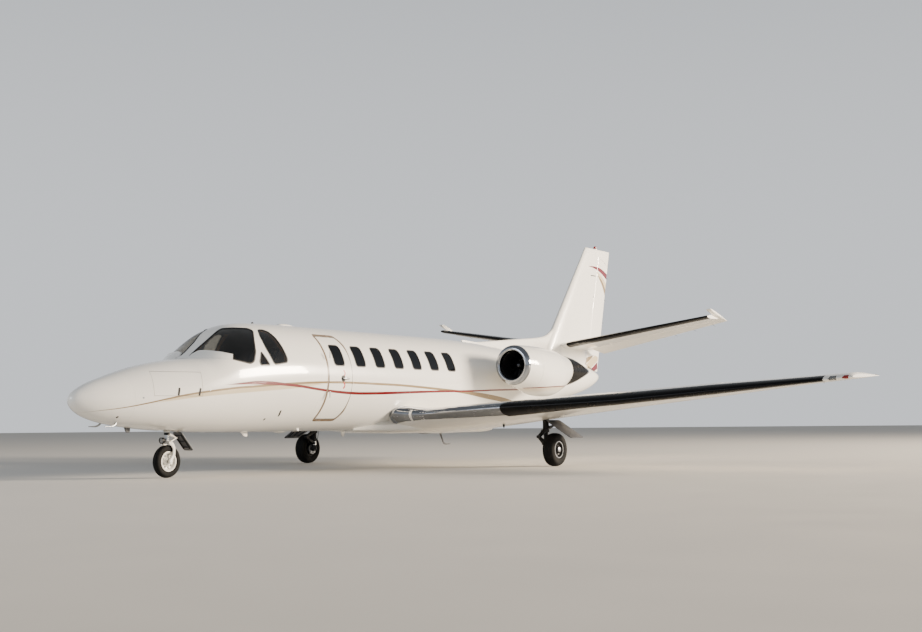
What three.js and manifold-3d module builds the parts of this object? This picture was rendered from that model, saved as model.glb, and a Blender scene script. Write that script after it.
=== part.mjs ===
// Twin-engine straight-wing business jet, parked on its own landing gear.
// Millimetres. Nose towards -Y, port side towards +X, up +Z, the ground at Z = 0.
import * as THREE from 'three';
import { mergeVertices } from 'three/addons/utils/BufferGeometryUtils.js';
import Module from 'manifold-3d';

const wasm = await Module();
wasm.setup();

// Driving dimensions of the whole aircraft
const LENGTH = 14900;
const SPAN = 15900;
const NOSE_Y = -LENGTH / 2;
const TAIL_Y = LENGTH / 2;
const REST_GAP = 0.3;
const MOVING_GAP = 8;

// Fuselage sections from nose to tail. top, bottom and widest are heights above the ground,
// half is the half width at the widest height, and power is 2 where the crown is an ellipse.
const HULL = [
  { y: NOSE_Y, top: 1066, bottom: 1042, widest: 1054, half: 12, power: 2 },
  { y: -7435, top: 1108, bottom: 998, widest: 1054, half: 52, power: 2 },
  { y: -7390, top: 1160, bottom: 943, widest: 1054, half: 104, power: 2 },
  { y: -7300, top: 1218, bottom: 882, widest: 1052, half: 170, power: 2 },
  { y: -7160, top: 1284, bottom: 822, widest: 1050, half: 248, power: 2 },
  { y: -6940, top: 1360, bottom: 764, widest: 1050, half: 340, power: 2 },
  { y: -6700, top: 1436, bottom: 722, widest: 1052, half: 418, power: 2 },
  { y: -6400, top: 1520, bottom: 686, widest: 1065, half: 503, power: 2.05 },
  { y: -6100, top: 1582, bottom: 660, widest: 1090, half: 575, power: 2.15 },
  { y: -5800, top: 1630, bottom: 642, widest: 1128, half: 636, power: 2.3 },
  { y: -5530, top: 1665, bottom: 632, widest: 1178, half: 684, power: 2.7 },
  { y: -5200, top: 1875, bottom: 623, widest: 1240, half: 728, power: 2.7 },
  { y: -4900, top: 2105, bottom: 618, widest: 1300, half: 761, power: 2.3 },
  { y: -4650, top: 2192, bottom: 617, widest: 1345, half: 781, power: 2.15 },
  { y: -4300, top: 2230, bottom: 615, widest: 1390, half: 800, power: 2.05 },
  { y: -3700, top: 2244, bottom: 615, widest: 1427, half: 814, power: 2 },
  { y: -3400, top: 2245, bottom: 615, widest: 1430, half: 815, power: 2 },
  { y: 600, top: 2243, bottom: 615, widest: 1430, half: 815, power: 2 },
  { y: 1250, top: 2230, bottom: 628, widest: 1432, half: 806, power: 2 },
  { y: 1900, top: 2203, bottom: 680, widest: 1442, half: 775, power: 2 },
  { y: 2800, top: 2150, bottom: 810, widest: 1480, half: 698, power: 2 },
  { y: 3800, top: 2082, bottom: 985, widest: 1533, half: 585, power: 2 },
  { y: 4800, top: 2015, bottom: 1175, widest: 1592, half: 452, power: 2 },
  { y: 5600, top: 1955, bottom: 1290, widest: 1640, half: 335, power: 2 },
  { y: 6200, top: 1895, bottom: 1420, widest: 1675, half: 235, power: 2 },
  { y: 6580, top: 1800, bottom: 1565, widest: 1695, half: 150, power: 2 },
  { y: 6720, top: 1730, bottom: 1655, widest: 1695, half: 60, power: 2 },
];
const HULL_SIDES = 32;
const LINING_SIDES = 20;
const WALL = 70;
const TAIL_WALL = 45;
const NOSE_WALL = 35;

// Stations where the fuselage panels meet
const JOIN = { radome: -6700, cockpit: -5500, cabin: -3400, tail: 1250, tip: HULL.at(-1).y };

// The wing: leading edge, chord, height and setting run straight from x = 0 to the tip.
// depths give the section's depth as a share of its chord, straight between those stations.
const WING = {
  lead: -1140, leadTip: -570, chord: 2770, chordTip: 1230, tip: SPAN / 2,
  height: 702, rise: Math.tan(THREE.MathUtils.degToRad(4.4)), set: 3.1, setTip: -2.2,
  depths: [
    { x: 500, depth: 0.14 }, { x: 1400, depth: 0.152 }, { x: 4400, depth: 0.129 }, { x: 5900, depth: 0.119 },
    { x: 7440, depth: 0.079 }, { x: SPAN / 2, depth: 0.073 },
  ],
};
const FLAP = { from: 1010, to: 5080, hinge: 0.76 };
const AILERON = { from: 5120, to: 7420, hinge: 0.76 };

// The tailplane and its elevators
const STAB = {
  lead: 5012, leadTip: 5450, chord: 1690, chordTip: 770, tip: 3285,
  height: 2292, rise: Math.tan(THREE.MathUtils.degToRad(8.6)), set: 0, setTip: 0,
  depths: [{ x: 0, depth: 0.09 }, { x: 3270, depth: 0.09 }],
};
const ELEVATOR = { from: 215, horn: 3220, hinge: 0.68, droop: 15 };

// The fin and rudder. leadSlope and trailSlope are metres aft for each metre up.
const FIN = {
  base: 1820, top: 4500, lead: 4922, leadAt: 2711, leadSlope: 0.795,
  trailSlope: 0.246, thick: 0.105,
};
const RUDDER = { hingeY: 6220, hingeZ: 1940, slope: 0.285, length: 2480, grip: 69, gripTop: 53 };

// Engine nacelles: x is the engine's distance from the centre plane, intake the radius of
// the duct ahead of the fan and bore the radius around the core.
const ENGINE = { x: 1350, face: 1110, intake: 252, bore: 272, core: 271.7, fanY: 1480 };
const NACELLE = [
  { y: 1200, z: 1740, wide: 356, high: 356 },
  { y: 1500, z: 1706.5, wide: 402, high: 396.5 },
  { y: 1900, z: 1649.5, wide: 420, high: 444.5 },
  { y: 2300, z: 1632.5, wide: 402, high: 432.5 },
  { y: 2600, z: 1648, wide: 350, high: 358 },
  { y: 2800, z: 1680, wide: 300, high: 290 },
];
const NACELLE_SIDES = 24;

// Reverser nozzle, seen from the side: an arrow-head whose point is at its rear end
const NOZZLE = { tip: 3530, run: 2.35, halfHeight: 300 };

// Landing gear
const NOSE_GEAR = { y: -5757, tyre: 228.5, tyreWidth: 112, rim: 130, wellTop: 1020, wellBack: -5560 };
const MAIN_GEAR = { x: 2680, y: 310, tyre: 275, tyreWidth: 200, rim: 130, legX: 2515 };
const WHEEL_SIDES = 24;

// Jacking pads: small flat-bottomed bosses under each wing and under the nose
const JACK = { x: 3150, y: -250, z: 812, radius: 32 };
const NOSE_JACK = { x: -260, y: -5990, z: 672, radius: 32 };

// Cabin door: a panel hinged at its front edge on an upright axis just outside the skin.
const DOOR = { hingeX: 834, front: -3235, swing: 562, bottom: 800, top: 2070 };

// Cabin windows, by the station of each one's centre
const WINDOW = { width: 258, height: 330, z: 1775, corner: 65, first: -2955 };
const WINDOW_STATIONS = [-2430, -1930, -1430, -930, -430, 70];

const signedPower = (value, power) => Math.sign(value) * Math.abs(value) ** power;
const vector = (x, y, z) => new THREE.Vector3(x, y, z);
const radians = THREE.MathUtils.degToRad;

// Closed bodies from rings and outlines

// Rings of equal length are joined side by side and closed by a flat cap at each end.
function loft(rings) {
  const count = rings[0].length;
  const points = rings.flat();
  const faces = [];
  for (let i = 0; i + 1 < rings.length; i++) {
    for (let j = 0; j < count; j++) {
      const a = i * count + j;
      const b = i * count + ((j + 1) % count);
      faces.push([a, b, b + count], [a, b + count, a + count]);
    }
  }
  const last = (rings.length - 1) * count;
  for (const [p, q, r] of capFaces(rings[0])) faces.push([r, q, p]);
  for (const [p, q, r] of capFaces(rings.at(-1))) faces.push([last + p, last + q, last + r]);
  return closedBody(points, faces);
}

// Triangles that fill one flat ring, turning the same way as the ring.
function capFaces(ring) {
  const normal = new THREE.Vector3();
  for (let j = 0; j < ring.length; j++) {
    const next = ring[(j + 1) % ring.length];
    normal.add(new THREE.Vector3().crossVectors(ring[j].clone().sub(ring[0]), next.clone().sub(ring[0])));
  }
  normal.normalize();
  const helper = Math.abs(normal.x) < 0.7 ? vector(1, 0, 0) : vector(0, 1, 0);
  const side = new THREE.Vector3().crossVectors(helper, normal).normalize();
  const across = new THREE.Vector3().crossVectors(normal, side);
  const flat = ring.map((point) => new THREE.Vector2(point.dot(side), point.dot(across)));
  const turn = Math.sign(THREE.ShapeUtils.area(flat));
  return THREE.ShapeUtils.triangulateShape(flat, []).map((face) => {
    const corners = face.map((index) => flat[index]);
    return Math.sign(THREE.ShapeUtils.area(corners)) === turn ? face : [face[0], face[2], face[1]];
  });
}

// A solid from points and triangles, turned inside out when its volume is negative.
function closedBody(points, faces) {
  let volume = 0;
  for (const [p, q, r] of faces) {
    volume += points[p].dot(new THREE.Vector3().crossVectors(points[q], points[r]));
  }
  const outward = volume < 0 ? faces.map(([p, q, r]) => [p, r, q]) : faces;
  const geometry = new THREE.BufferGeometry().setFromPoints(points);
  geometry.setIndex(outward.flat());
  return solidOf(geometry);
}

// The geometry with shared corners joined and nothing but its corners and triangles.
function welded(geometry) {
  const bare = geometry.clone();
  bare.deleteAttribute('normal');
  bare.deleteAttribute('uv');
  return mergeVertices(bare, 1e-3);
}

function solidOf(geometry) {
  const merged = welded(geometry);
  return new wasm.Manifold(new wasm.Mesh({
    numProp: 3,
    vertProperties: new Float32Array(merged.attributes.position.array),
    triVerts: new Uint32Array(merged.index.array),
  }));
}

function geometryOf(solid) {
  const mesh = solid.getMesh();
  const geometry = new THREE.BufferGeometry();
  geometry.setAttribute('position', new THREE.BufferAttribute(mesh.vertProperties, 3));
  geometry.setIndex(new THREE.BufferAttribute(mesh.triVerts, 1));
  return geometry;
}

const join = (first, ...others) => others.reduce((sum, solid) => sum.add(solid), first);
const cut = (first, ...others) => others.reduce((rest, solid) => rest.subtract(solid), first);
const common = (first, ...others) => others.reduce((shared, solid) => shared.intersect(solid), first);

// The same solid on the other side of the centre plane, its triangles turned back outwards.
function mirrored(solid) {
  const geometry = geometryOf(solid).scale(-1, 1, 1);
  const index = geometry.index.array;
  for (let i = 0; i < index.length; i += 3) {
    [index[i], index[i + 1]] = [index[i + 1], index[i]];
  }
  return solidOf(geometry);
}

function moved(solid, matrix) {
  return solidOf(geometryOf(solid).applyMatrix4(matrix));
}

// The space that a solid fills, with the rest gap on every side of it.
function spaceFor(solid) {
  const shifts = [[1, 0, 0], [-1, 0, 0], [0, 1, 0], [0, -1, 0], [0, 0, 1], [0, 0, -1]];
  return join(...shifts.map((shift) => (
    moved(solid, new THREE.Matrix4().makeTranslation(...shift.map((share) => share * REST_GAP)))
  )));
}

function box(x0, x1, y0, y1, z0, z1) {
  const geometry = new THREE.BoxGeometry(x1 - x0, y1 - y0, z1 - z0);
  geometry.translate((x0 + x1) / 2, (y0 + y1) / 2, (z0 + z1) / 2);
  return solidOf(geometry);
}

// A round rod or cone between two points.
function rod(from, to, radius, endRadius = radius, sides = 12) {
  const along = to.clone().sub(from);
  const geometry = new THREE.CylinderGeometry(endRadius, radius, along.length(), sides);
  const upright = vector(0, 1, 0);
  geometry.applyQuaternion(new THREE.Quaternion().setFromUnitVectors(upright, along.clone().normalize()));
  const middle = from.clone().add(to).multiplyScalar(0.5);
  geometry.translate(middle.x, middle.y, middle.z);
  return solidOf(geometry);
}

// A flat bar between two points: wide along the given side direction, deep across it.
function bar(from, to, side, wide, deep) {
  const along = to.clone().sub(from);
  const length = along.length();
  along.normalize();
  const across = new THREE.Vector3().crossVectors(side, along).normalize();
  const squared = new THREE.Vector3().crossVectors(across, along);
  const geometry = new THREE.BoxGeometry(wide, deep, length);
  geometry.applyMatrix4(new THREE.Matrix4().makeBasis(squared, across, along));
  const middle = from.clone().add(to).multiplyScalar(0.5);
  geometry.translate(middle.x, middle.y, middle.z);
  return solidOf(geometry);
}

// A ring of revolution about the line through centre along axis, from [radius, offset] pairs.
function turned(profile, centre, axis, sides = WHEEL_SIDES) {
  const closed = [...profile, profile[0]].map(([radius, offset]) => new THREE.Vector2(radius, offset));
  const geometry = new THREE.LatheGeometry(closed, sides, Math.PI / sides);
  geometry.applyQuaternion(new THREE.Quaternion().setFromUnitVectors(vector(0, 1, 0), axis));
  geometry.translate(centre.x, centre.y, centre.z);
  const merged = welded(geometry);
  const position = merged.attributes.position;
  const points = [];
  for (let i = 0; i < position.count; i++) {
    points.push(new THREE.Vector3().fromBufferAttribute(position, i));
  }
  const index = merged.index.array;
  const faces = [];
  for (let i = 0; i < index.length; i += 3) {
    const face = [index[i], index[i + 1], index[i + 2]];
    if (new Set(face).size === 3) faces.push(face);
  }
  return closedBody(points, faces);
}

// An outline of [along, up] pairs pushed through the body in a level direction.
// azimuth is that direction's angle from the nose towards the port side.
function slot(outline, azimuth, near, far) {
  const out = vector(Math.sin(radians(azimuth)), -Math.cos(radians(azimuth)), 0);
  const along = vector(Math.cos(radians(azimuth)), Math.sin(radians(azimuth)), 0);
  const ringAt = (depth) => outline.map(([s, z]) => (
    out.clone().multiplyScalar(depth).addScaledVector(along, s).setZ(z)
  ));
  return loft([ringAt(near), ringAt(far)]);
}

// A rounded upright outline about a centre, as [along, up] pairs.
function roundedOutline(centre, middle, width, height, corner, trim = 0) {
  const outline = [];
  const turns = [[1, 1, 0], [-1, 1, 90], [-1, -1, 180], [1, -1, 270]];
  const radius = corner - trim;
  for (const [sideways, upward, start] of turns) {
    for (let k = 0; k <= 2; k++) {
      const angle = radians(start + 10 + k * 35);
      outline.push([
        centre + sideways * (width / 2 - corner) + radius * Math.cos(angle),
        middle + upward * (height / 2 - corner) + radius * Math.sin(angle),
      ]);
    }
  }
  return outline;
}

// Fuselage

// The fuselage section at any station, straight between the rows of the table.
function hullSection(y) {
  const index = Math.min(Math.max(HULL.findIndex((row) => row.y >= y), 1), HULL.length - 1);
  const before = HULL[index - 1];
  const after = HULL[index];
  const share = (y - before.y) / (after.y - before.y);
  const keys = ['top', 'bottom', 'widest', 'half', 'power'];
  return Object.fromEntries(keys.map((key) => [key, THREE.MathUtils.lerp(before[key], after[key], share)]));
}

function hullRing(y, inset, sides) {
  const section = hullSection(y);
  const ring = [];
  for (let k = 0; k < sides; k++) {
    const angle = ((k + 0.5) / sides) * 2 * Math.PI;
    const rise = Math.sin(angle) > 0 ? section.top - section.widest : section.widest - section.bottom;
    const power = Math.sin(angle) > 0 ? 2 / section.power : 1;
    ring.push(vector(
      (section.half - inset) * signedPower(Math.cos(angle), power),
      y,
      section.widest + (rise - inset) * signedPower(Math.sin(angle), power),
    ));
  }
  return ring;
}

// The fuselage body between two stations, drawn in by inset from the outer skin.
function hull(from, to, inset = 0, sides = HULL_SIDES) {
  const between = HULL.map((row) => row.y).filter((y) => y > from + 1 && y < to - 1);
  return loft([from, ...between, to].map((y) => hullRing(y, inset, sides)));
}

// The space inside the fuselage wall, with fewer sides than the skin.
const lining = (from, to, inset) => hull(from, to, inset, LINING_SIDES);

// The half width of the skin at a station and height, above the widest line.
function skinX(y, z) {
  const section = hullSection(y);
  const rise = (z - section.widest) / (section.top - section.widest);
  return section.half * (1 - rise ** section.power) ** (1 / section.power);
}

const outerSkin = hull(NOSE_Y, JOIN.tip, -REST_GAP);

// Windscreens and side windows of the cockpit, as outlines seen along a level direction
const WINDSCREEN_VIEW = 40;
const WINDSCREEN = [
  [-3436, 1690], [-3345, 1795], [-3060, 2085], [-3005, 2120], [-2870, 2128], [-2640, 2128],
  [-2560, 2090], [-2545, 2010], [-2500, 1765], [-2512, 1620], [-2562, 1578], [-2850, 1650],
  [-3050, 1668], [-3250, 1680],
];
const SIDE_VIEW = 90;
const AFT_WINDOW = [
  [-4395, 2112], [-4270, 2120], [-4200, 2085], [-4172, 2000], [-4150, 1877], [-4115, 1680],
  [-4140, 1622], [-4390, 1582], [-4430, 1610], [-4505, 1832], [-4490, 2000],
];
const STORM_WINDOW = [
  [-4605, 1765], [-4625, 1760], [-4700, 1617], [-4685, 1565], [-4510, 1572], [-4500, 1595],
];

// An outline drawn in by trim all round.
function shrink(outline, trim) {
  const points = outline.map(([along, up]) => new THREE.Vector2(along, up));
  const turn = Math.sign(THREE.ShapeUtils.area(points));
  const inward = (start, end) => {
    const edge = end.clone().sub(start).normalize();
    return new THREE.Vector2(-edge.y * turn, edge.x * turn);
  };
  return points.map((point, i) => {
    const before = inward(points.at(i - 1), point);
    const after = inward(point, points[(i + 1) % points.length]);
    const shift = before.clone().add(after).multiplyScalar(trim / (1 + before.dot(after)));
    return [point.x + shift.x, point.y + shift.y];
  });
}

const glassSkin = cut(hull(JOIN.cockpit + 5, JOIN.tail - 5, 6), hull(JOIN.cockpit, JOIN.tail, 30));

// Names, finishes and the finished meshes
const FINISH = {
  white: { color: 0xf2f1ee, roughness: 0.25, metalness: 0 },
  dark: { color: 0x1c1d20, roughness: 0.6, metalness: 0 },
  rubber: { color: 0x17181a, roughness: 0.85, metalness: 0 },
  polished: { color: 0xc9ccd0, roughness: 0.12, metalness: 1 },
  steel: { color: 0x8d9095, roughness: 0.35, metalness: 1 },
  exhaust: { color: 0x4a4b4d, roughness: 0.5, metalness: 0.9 },
  glass: { color: 0x20262c, roughness: 0.05, metalness: 0 },
  leather: { color: 0xb69a78, roughness: 0.6, metalness: 0 },
  carpet: { color: 0x7d6c58, roughness: 0.95, metalness: 0 },
};

const aircraft = new THREE.Group();

function piece(name, solid, finish) {
  const mesh = new THREE.Mesh(geometryOf(solid), new THREE.MeshStandardMaterial(FINISH[finish]));
  mesh.name = name;
  aircraft.add(mesh);
}

function pair(name, solid, finish) {
  piece(`${name}_left`, solid, finish);
  piece(`${name}_right`, mirrored(solid), finish);
}

// A hinge line from one point to another, with a box in its own directions:
// along the line, outwards from it, and square to both.
function hingeBox(from, to, out, ranges) {
  const along = to.clone().sub(from).normalize();
  const outward = out.clone().addScaledVector(along, -out.dot(along)).normalize();
  const up = new THREE.Vector3().crossVectors(along, outward);
  const [a0, a1, b0, b1, c0, c1] = ranges;
  const geometry = new THREE.BoxGeometry(a1 - a0, b1 - b0, c1 - c0);
  geometry.translate((a0 + a1) / 2, (b0 + b1) / 2, (c0 + c1) / 2);
  geometry.applyMatrix4(new THREE.Matrix4().makeBasis(along, outward, up));
  geometry.translate(from.x, from.y, from.z);
  return solidOf(geometry);
}

// Nose: radome, baggage and gear bay, baggage doors
const BAGGAGE = { front: -6400, back: -5660, floor: 1115, top: 1450, bayTop: 1560 };
function makeNose() {
  piece('radome', hull(NOSE_Y, JOIN.radome - REST_GAP), 'white');
  const bay = common(
    lining(BAGGAGE.front, BAGGAGE.back, NOSE_WALL + 8),
    box(-700, 700, BAGGAGE.front, BAGGAGE.back, BAGGAGE.floor, BAGGAGE.bayTop),
  );
  const well = join(
    box(-150, 150, NOSE_GEAR.y - 200, NOSE_GEAR.wellBack, 500, NOSE_GEAR.wellTop),
    box(-22, 22, NOSE_GEAR.wellBack - 1, NOSE_GEAR.wellBack + 45, 500, 720),
  );
  const proud = 14;
  const from = vector(skinX(-6370, BAGGAGE.top) + proud, -6370, BAGGAGE.top);
  const to = vector(skinX(-5690, BAGGAGE.top) + proud, -5690, BAGGAGE.top);
  const reach = from.distanceTo(to);
  const drop = BAGGAGE.top - BAGGAGE.floor;
  const out = vector(1, 0, 0);
  const opening = hingeBox(from, to, out, [0, reach, -160, 400, 0, drop]);
  const gap = MOVING_GAP;
  const door = common(
    cut(hull(JOIN.radome, JOIN.cockpit), hull(JOIN.radome - 1, JOIN.cockpit + 1, NOSE_WALL)),
    hingeBox(from, to, out, [gap, reach - gap, -150, 390, gap, drop - gap]),
    box(0, 800, JOIN.radome, JOIN.cockpit, 0, 2500),
  );
  const shell = cut(hull(JOIN.radome, JOIN.cockpit - REST_GAP), bay, well, opening, mirrored(opening));
  const { x, y, z, radius } = NOSE_JACK;
  piece('nose_section', join(shell, rod(vector(x, y, z), vector(x, y, z + 60), radius)), 'white');
  pair('baggage_door', door, 'white');
}

// Cockpit and cabin shells with their windows, the cabin door and its window
function makeCabin() {
  const cockpit = cut(
    hull(JOIN.cockpit, JOIN.cabin - REST_GAP),
    lining(JOIN.cockpit - 1, JOIN.cabin + 1, WALL),
  );
  const screenSlot = (trim) => slot(shrink(WINDSCREEN, trim), WINDSCREEN_VIEW, 3400, 4700);
  const sideSlots = (trim) => join(...[AFT_WINDOW, STORM_WINDOW].map((outline) => (
    slot(shrink(outline, trim), SIDE_VIEW, 200, 1000)
  )));
  const holes = join(screenSlot(0), sideSlots(0));
  piece('cockpit_shell', cut(cockpit, holes, mirrored(holes)), 'white');
  pair('windscreen', common(glassSkin, screenSlot(1)), 'glass');
  const sideSkin = cut(hull(JOIN.cockpit, JOIN.cabin, 6), lining(JOIN.cockpit - 1, JOIN.cabin + 1, WALL + 6));
  const sideFrame = cut(
    lining(JOIN.cockpit, JOIN.cabin, WALL + REST_GAP),
    lining(JOIN.cockpit - 1, JOIN.cabin + 1, WALL + 8),
  );
  const sideLiner = common(sideFrame, box(250, 900, -4730, -4080, 1570, 2075));
  pair('cockpit_side_window', join(sideLiner, common(sideSkin, sideSlots(1))), 'glass');

  const windowSlot = (y, trim) => slot(
    roundedOutline(y, WINDOW.z, WINDOW.width, WINDOW.height, WINDOW.corner, trim), SIDE_VIEW, 300, 1000,
  );
  const doorSpace = (trim) => common(
    rod(
      vector(DOOR.hingeX, DOOR.front, DOOR.bottom + trim),
      vector(DOOR.hingeX, DOOR.front, DOOR.top - trim),
      DOOR.swing - trim, DOOR.swing - trim, 64,
    ),
    box(100, 1000, DOOR.front + trim, 0, 0, 3000),
  );
  const windowHoles = WINDOW_STATIONS.map((y) => windowSlot(y, 0));
  const doorWindow = windowSlot(WINDOW.first, 0);
  const tube = cut(hull(JOIN.cabin, JOIN.tail - REST_GAP), lining(JOIN.cabin - 1, JOIN.tail + 1, WALL));
  const shell = cut(
    tube, ...windowHoles, ...windowHoles.map(mirrored), mirrored(doorWindow), doorSpace(0),
  );
  piece('cabin_shell', shell, 'white');
  const door = cut(common(tube, doorSpace(MOVING_GAP)), doorWindow);
  piece('cabin_door', door, 'white');
  piece('cabin_door_window', common(glassSkin, windowSlot(WINDOW.first, 1)), 'glass');

  const plugSkin = cut(hull(JOIN.cabin, JOIN.tail, 6), lining(JOIN.cabin - 1, JOIN.tail + 1, WALL + 6));
  const liner = (front) => common(
    cut(lining(JOIN.cabin, JOIN.tail, WALL + REST_GAP), lining(JOIN.cabin - 1, JOIN.tail + 1, WALL + 8)),
    box(0, 900, front, 240, WINDOW.z - 205, WINDOW.z + 205),
  );
  const panes = (stations) => stations.map((y) => common(plugSkin, windowSlot(y, 0.6)));
  piece('cabin_windows_left', join(liner(-2600), ...panes(WINDOW_STATIONS)), 'glass');
  const starboard = [WINDOW.first, ...WINDOW_STATIONS];
  piece('cabin_windows_right', mirrored(join(liner(-3120), ...panes(starboard))), 'glass');
}

// Tail cone, a hollow cone open at its front, and the bulkhead that closes the cabin there
function makeTail(pylons) {
  const cone = cut(hull(JOIN.tail, JOIN.tip), lining(JOIN.tail - 1, 6100, TAIL_WALL));
  piece('tail_cone', join(cone, pylons, mirrored(pylons)), 'white');
  piece('aft_bulkhead', lining(JOIN.tail - 60, JOIN.tail - 30, WALL + REST_GAP), 'leather');
}

// Wing and tail surfaces

// Half the depth of an airfoil at a share of its chord, as a share of the chord.
const airfoilHalf = (thickness, s) => 5 * thickness * (
  0.2969 * Math.sqrt(s) - 0.126 * s - 0.3516 * s ** 2 + 0.2843 * s ** 3 - 0.1015 * s ** 4
);

// A cambered airfoil about its chord, as [aft, up] pairs that are shares of the chord.
function airfoil(thickness, camber) {
  const stations = [1, 0.86, 0.72, 0.56, 0.4, 0.26, 0.14, 0.06, 0.015, 0];
  const half = (s) => airfoilHalf(thickness, s) + 0.0012;
  const bend = (s) => camber * (s < 0.25 ? 1 - (1 - s / 0.25) ** 2 : 1 - ((s - 0.25) / 0.75) ** 2);
  const upper = stations.map((s) => [s, bend(s) + half(s) * (s === 0 ? 0 : 1)]);
  const lower = stations.slice(0, -1).reverse().map((s) => [s, bend(s) - half(s)]);
  return [...upper, ...lower];
}

// A surface's depth at a station across, as a share of its chord.
function depthAt(surface, x) {
  const rows = surface.depths;
  const across = THREE.MathUtils.clamp(Math.abs(x), rows[0].x, rows.at(-1).x);
  const index = Math.max(rows.findIndex((row) => row.x >= across), 1);
  const [before, after] = [rows[index - 1], rows[index]];
  return THREE.MathUtils.lerp(before.depth, after.depth, (across - before.x) / (after.x - before.x));
}

// One wing section: x across, the chord along y, turned nose up by its setting.
function wingRing(surface, x, camber, scale = 1) {
  const share = Math.abs(x) / surface.tip;
  const lead = THREE.MathUtils.lerp(surface.lead, surface.leadTip, share);
  const chord = THREE.MathUtils.lerp(surface.chord, surface.chordTip, share);
  const thick = depthAt(surface, x) * scale;
  const setting = radians(THREE.MathUtils.lerp(surface.set, surface.setTip, share));
  const height = surface.height + surface.rise * Math.abs(x);
  return airfoil(thick, camber * scale).map(([aft, up]) => vector(
    x,
    lead + chord * (aft * Math.cos(setting) + up * Math.sin(setting)),
    height + chord * (up * Math.cos(setting) - aft * Math.sin(setting)),
  ));
}

// The middle of a section at a share of its chord, where a control surface hinges.
function hingePoint(surface, x, share, camber) {
  const span = Math.abs(x) / surface.tip;
  const lead = THREE.MathUtils.lerp(surface.lead, surface.leadTip, span);
  const chord = THREE.MathUtils.lerp(surface.chord, surface.chordTip, span);
  const setting = radians(THREE.MathUtils.lerp(surface.set, surface.setTip, span));
  const bend = camber * (1 - ((share - 0.25) / 0.75) ** 2);
  return vector(
    x,
    lead + chord * (share * Math.cos(setting) + bend * Math.sin(setting)),
    surface.height + surface.rise * Math.abs(x)
      + chord * (bend * Math.cos(setting) - share * Math.sin(setting)),
  );
}

// The radius of a control surface's round nose, which is as deep as the section there.
function noseRadius(surface, x, share) {
  const span = Math.abs(x) / surface.tip;
  const chord = THREE.MathUtils.lerp(surface.chord, surface.chordTip, span);
  return chord * (airfoilHalf(depthAt(surface, x), share) + 0.002);
}

// The space behind a hinge line: a round nose about the line and everything aft of it.
// radii are the nose's radius at each end, and trim draws its ends in along the line.
function behindHinge(from, to, aft, radii, trim) {
  const along = to.clone().sub(from).normalize();
  const back = aft.clone().addScaledVector(along, -aft.dot(along)).normalize();
  const up = new THREE.Vector3().crossVectors(back, along);
  const reach = 1500;
  const ringAt = (centre, radius) => {
    const ring = [];
    for (let k = 0; k <= 8; k++) {
      const angle = Math.PI / 2 + (k * Math.PI) / 8;
      ring.push(centre.clone()
        .addScaledVector(back, radius * Math.cos(angle))
        .addScaledVector(up, radius * Math.sin(angle)));
    }
    ring.push(centre.clone().addScaledVector(back, reach).addScaledVector(up, -2.2 * radius));
    ring.push(centre.clone().addScaledVector(back, reach).addScaledVector(up, 2.2 * radius));
    return ring;
  };
  return loft([
    ringAt(from.clone().addScaledVector(along, trim), radii[0]),
    ringAt(to.clone().addScaledVector(along, -trim), radii[1]),
  ]);
}

const WING_CAMBER = 0.018;
// The nose of the section reaches forward and swells at the root, and is lifted from there
// out to mid span.
const WING_NOSE = [
  { x: 500, forward: 300, lift: 140, swell: 0.7 },
  { x: 680, forward: 385, lift: 140, swell: 0.7 },
  { x: 790, forward: 290, lift: 115, swell: 0.55 },
  { x: 900, forward: 150, lift: 100, swell: 0.3 },
  { x: 1060, forward: 45, lift: 92, swell: 0.1 },
  { x: 1400, forward: 0, lift: 88, swell: 0 },
  { x: 2400, forward: 0, lift: 70, swell: 0 },
  { x: 3400, forward: 0, lift: 30, swell: 0 },
];

// A wing section whose nose is stretched forward, lifted and swollen.
function flaredRing({ x, forward, lift, swell }) {
  const ring = wingRing(WING, x, WING_CAMBER);
  const tip = ring.reduce((first, point) => (point.y < first.y ? point : first)).clone();
  const nose = 500;
  for (const point of ring) {
    const share = Math.max(0, 1 - (point.y - tip.y) / nose);
    point.y -= forward * share ** 1.5;
    point.z = tip.z + (point.z - tip.z) * (1 + swell * share) + lift * share ** 2;
  }
  return ring;
}

function makeWings(fairing) {
  const rings = [
    ...WING_NOSE.map(flaredRing),
    ...[4400, 5900, 7440, 7860].map((x) => wingRing(WING, x, WING_CAMBER)),
  ];
  const tipRing = wingRing(WING, WING.tip, WING_CAMBER, 0.45);
  const whole = loft([...rings, tipRing]);
  const aft = vector(0, 1, 0);
  const surfaces = [
    { name: 'flap', ...FLAP },
    { name: 'aileron', ...AILERON },
  ];
  let wing = cut(whole, outerSkin, spaceFor(fairing));
  for (const { name, from, to, hinge } of surfaces) {
    const a = hingePoint(WING, from, hinge, WING_CAMBER);
    const b = hingePoint(WING, to, hinge, WING_CAMBER);
    const radii = [noseRadius(WING, from, hinge), noseRadius(WING, to, hinge)];
    const space = behindHinge(a, b, aft, radii.map((radius) => radius + MOVING_GAP), 0);
    const body = behindHinge(a, b, aft, radii, MOVING_GAP);
    pair(name, common(whole, body), 'white');
    wing = cut(wing, space);
  }
  const wheelWell = join(
    rod(vector(1990, MAIN_GEAR.y, 500), vector(1990, MAIN_GEAR.y, 890), 320, 320, 28),
    box(1990, 2760, MAIN_GEAR.y - 110, MAIN_GEAR.y + 110, 500, 905),
  );
  const pad = rod(vector(JACK.x, JACK.y, JACK.z), vector(JACK.x, JACK.y, JACK.z + 60), JACK.radius);
  wing = join(cut(wing, wheelWell), pad);
  pair('wing', wing, 'white');
}

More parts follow.
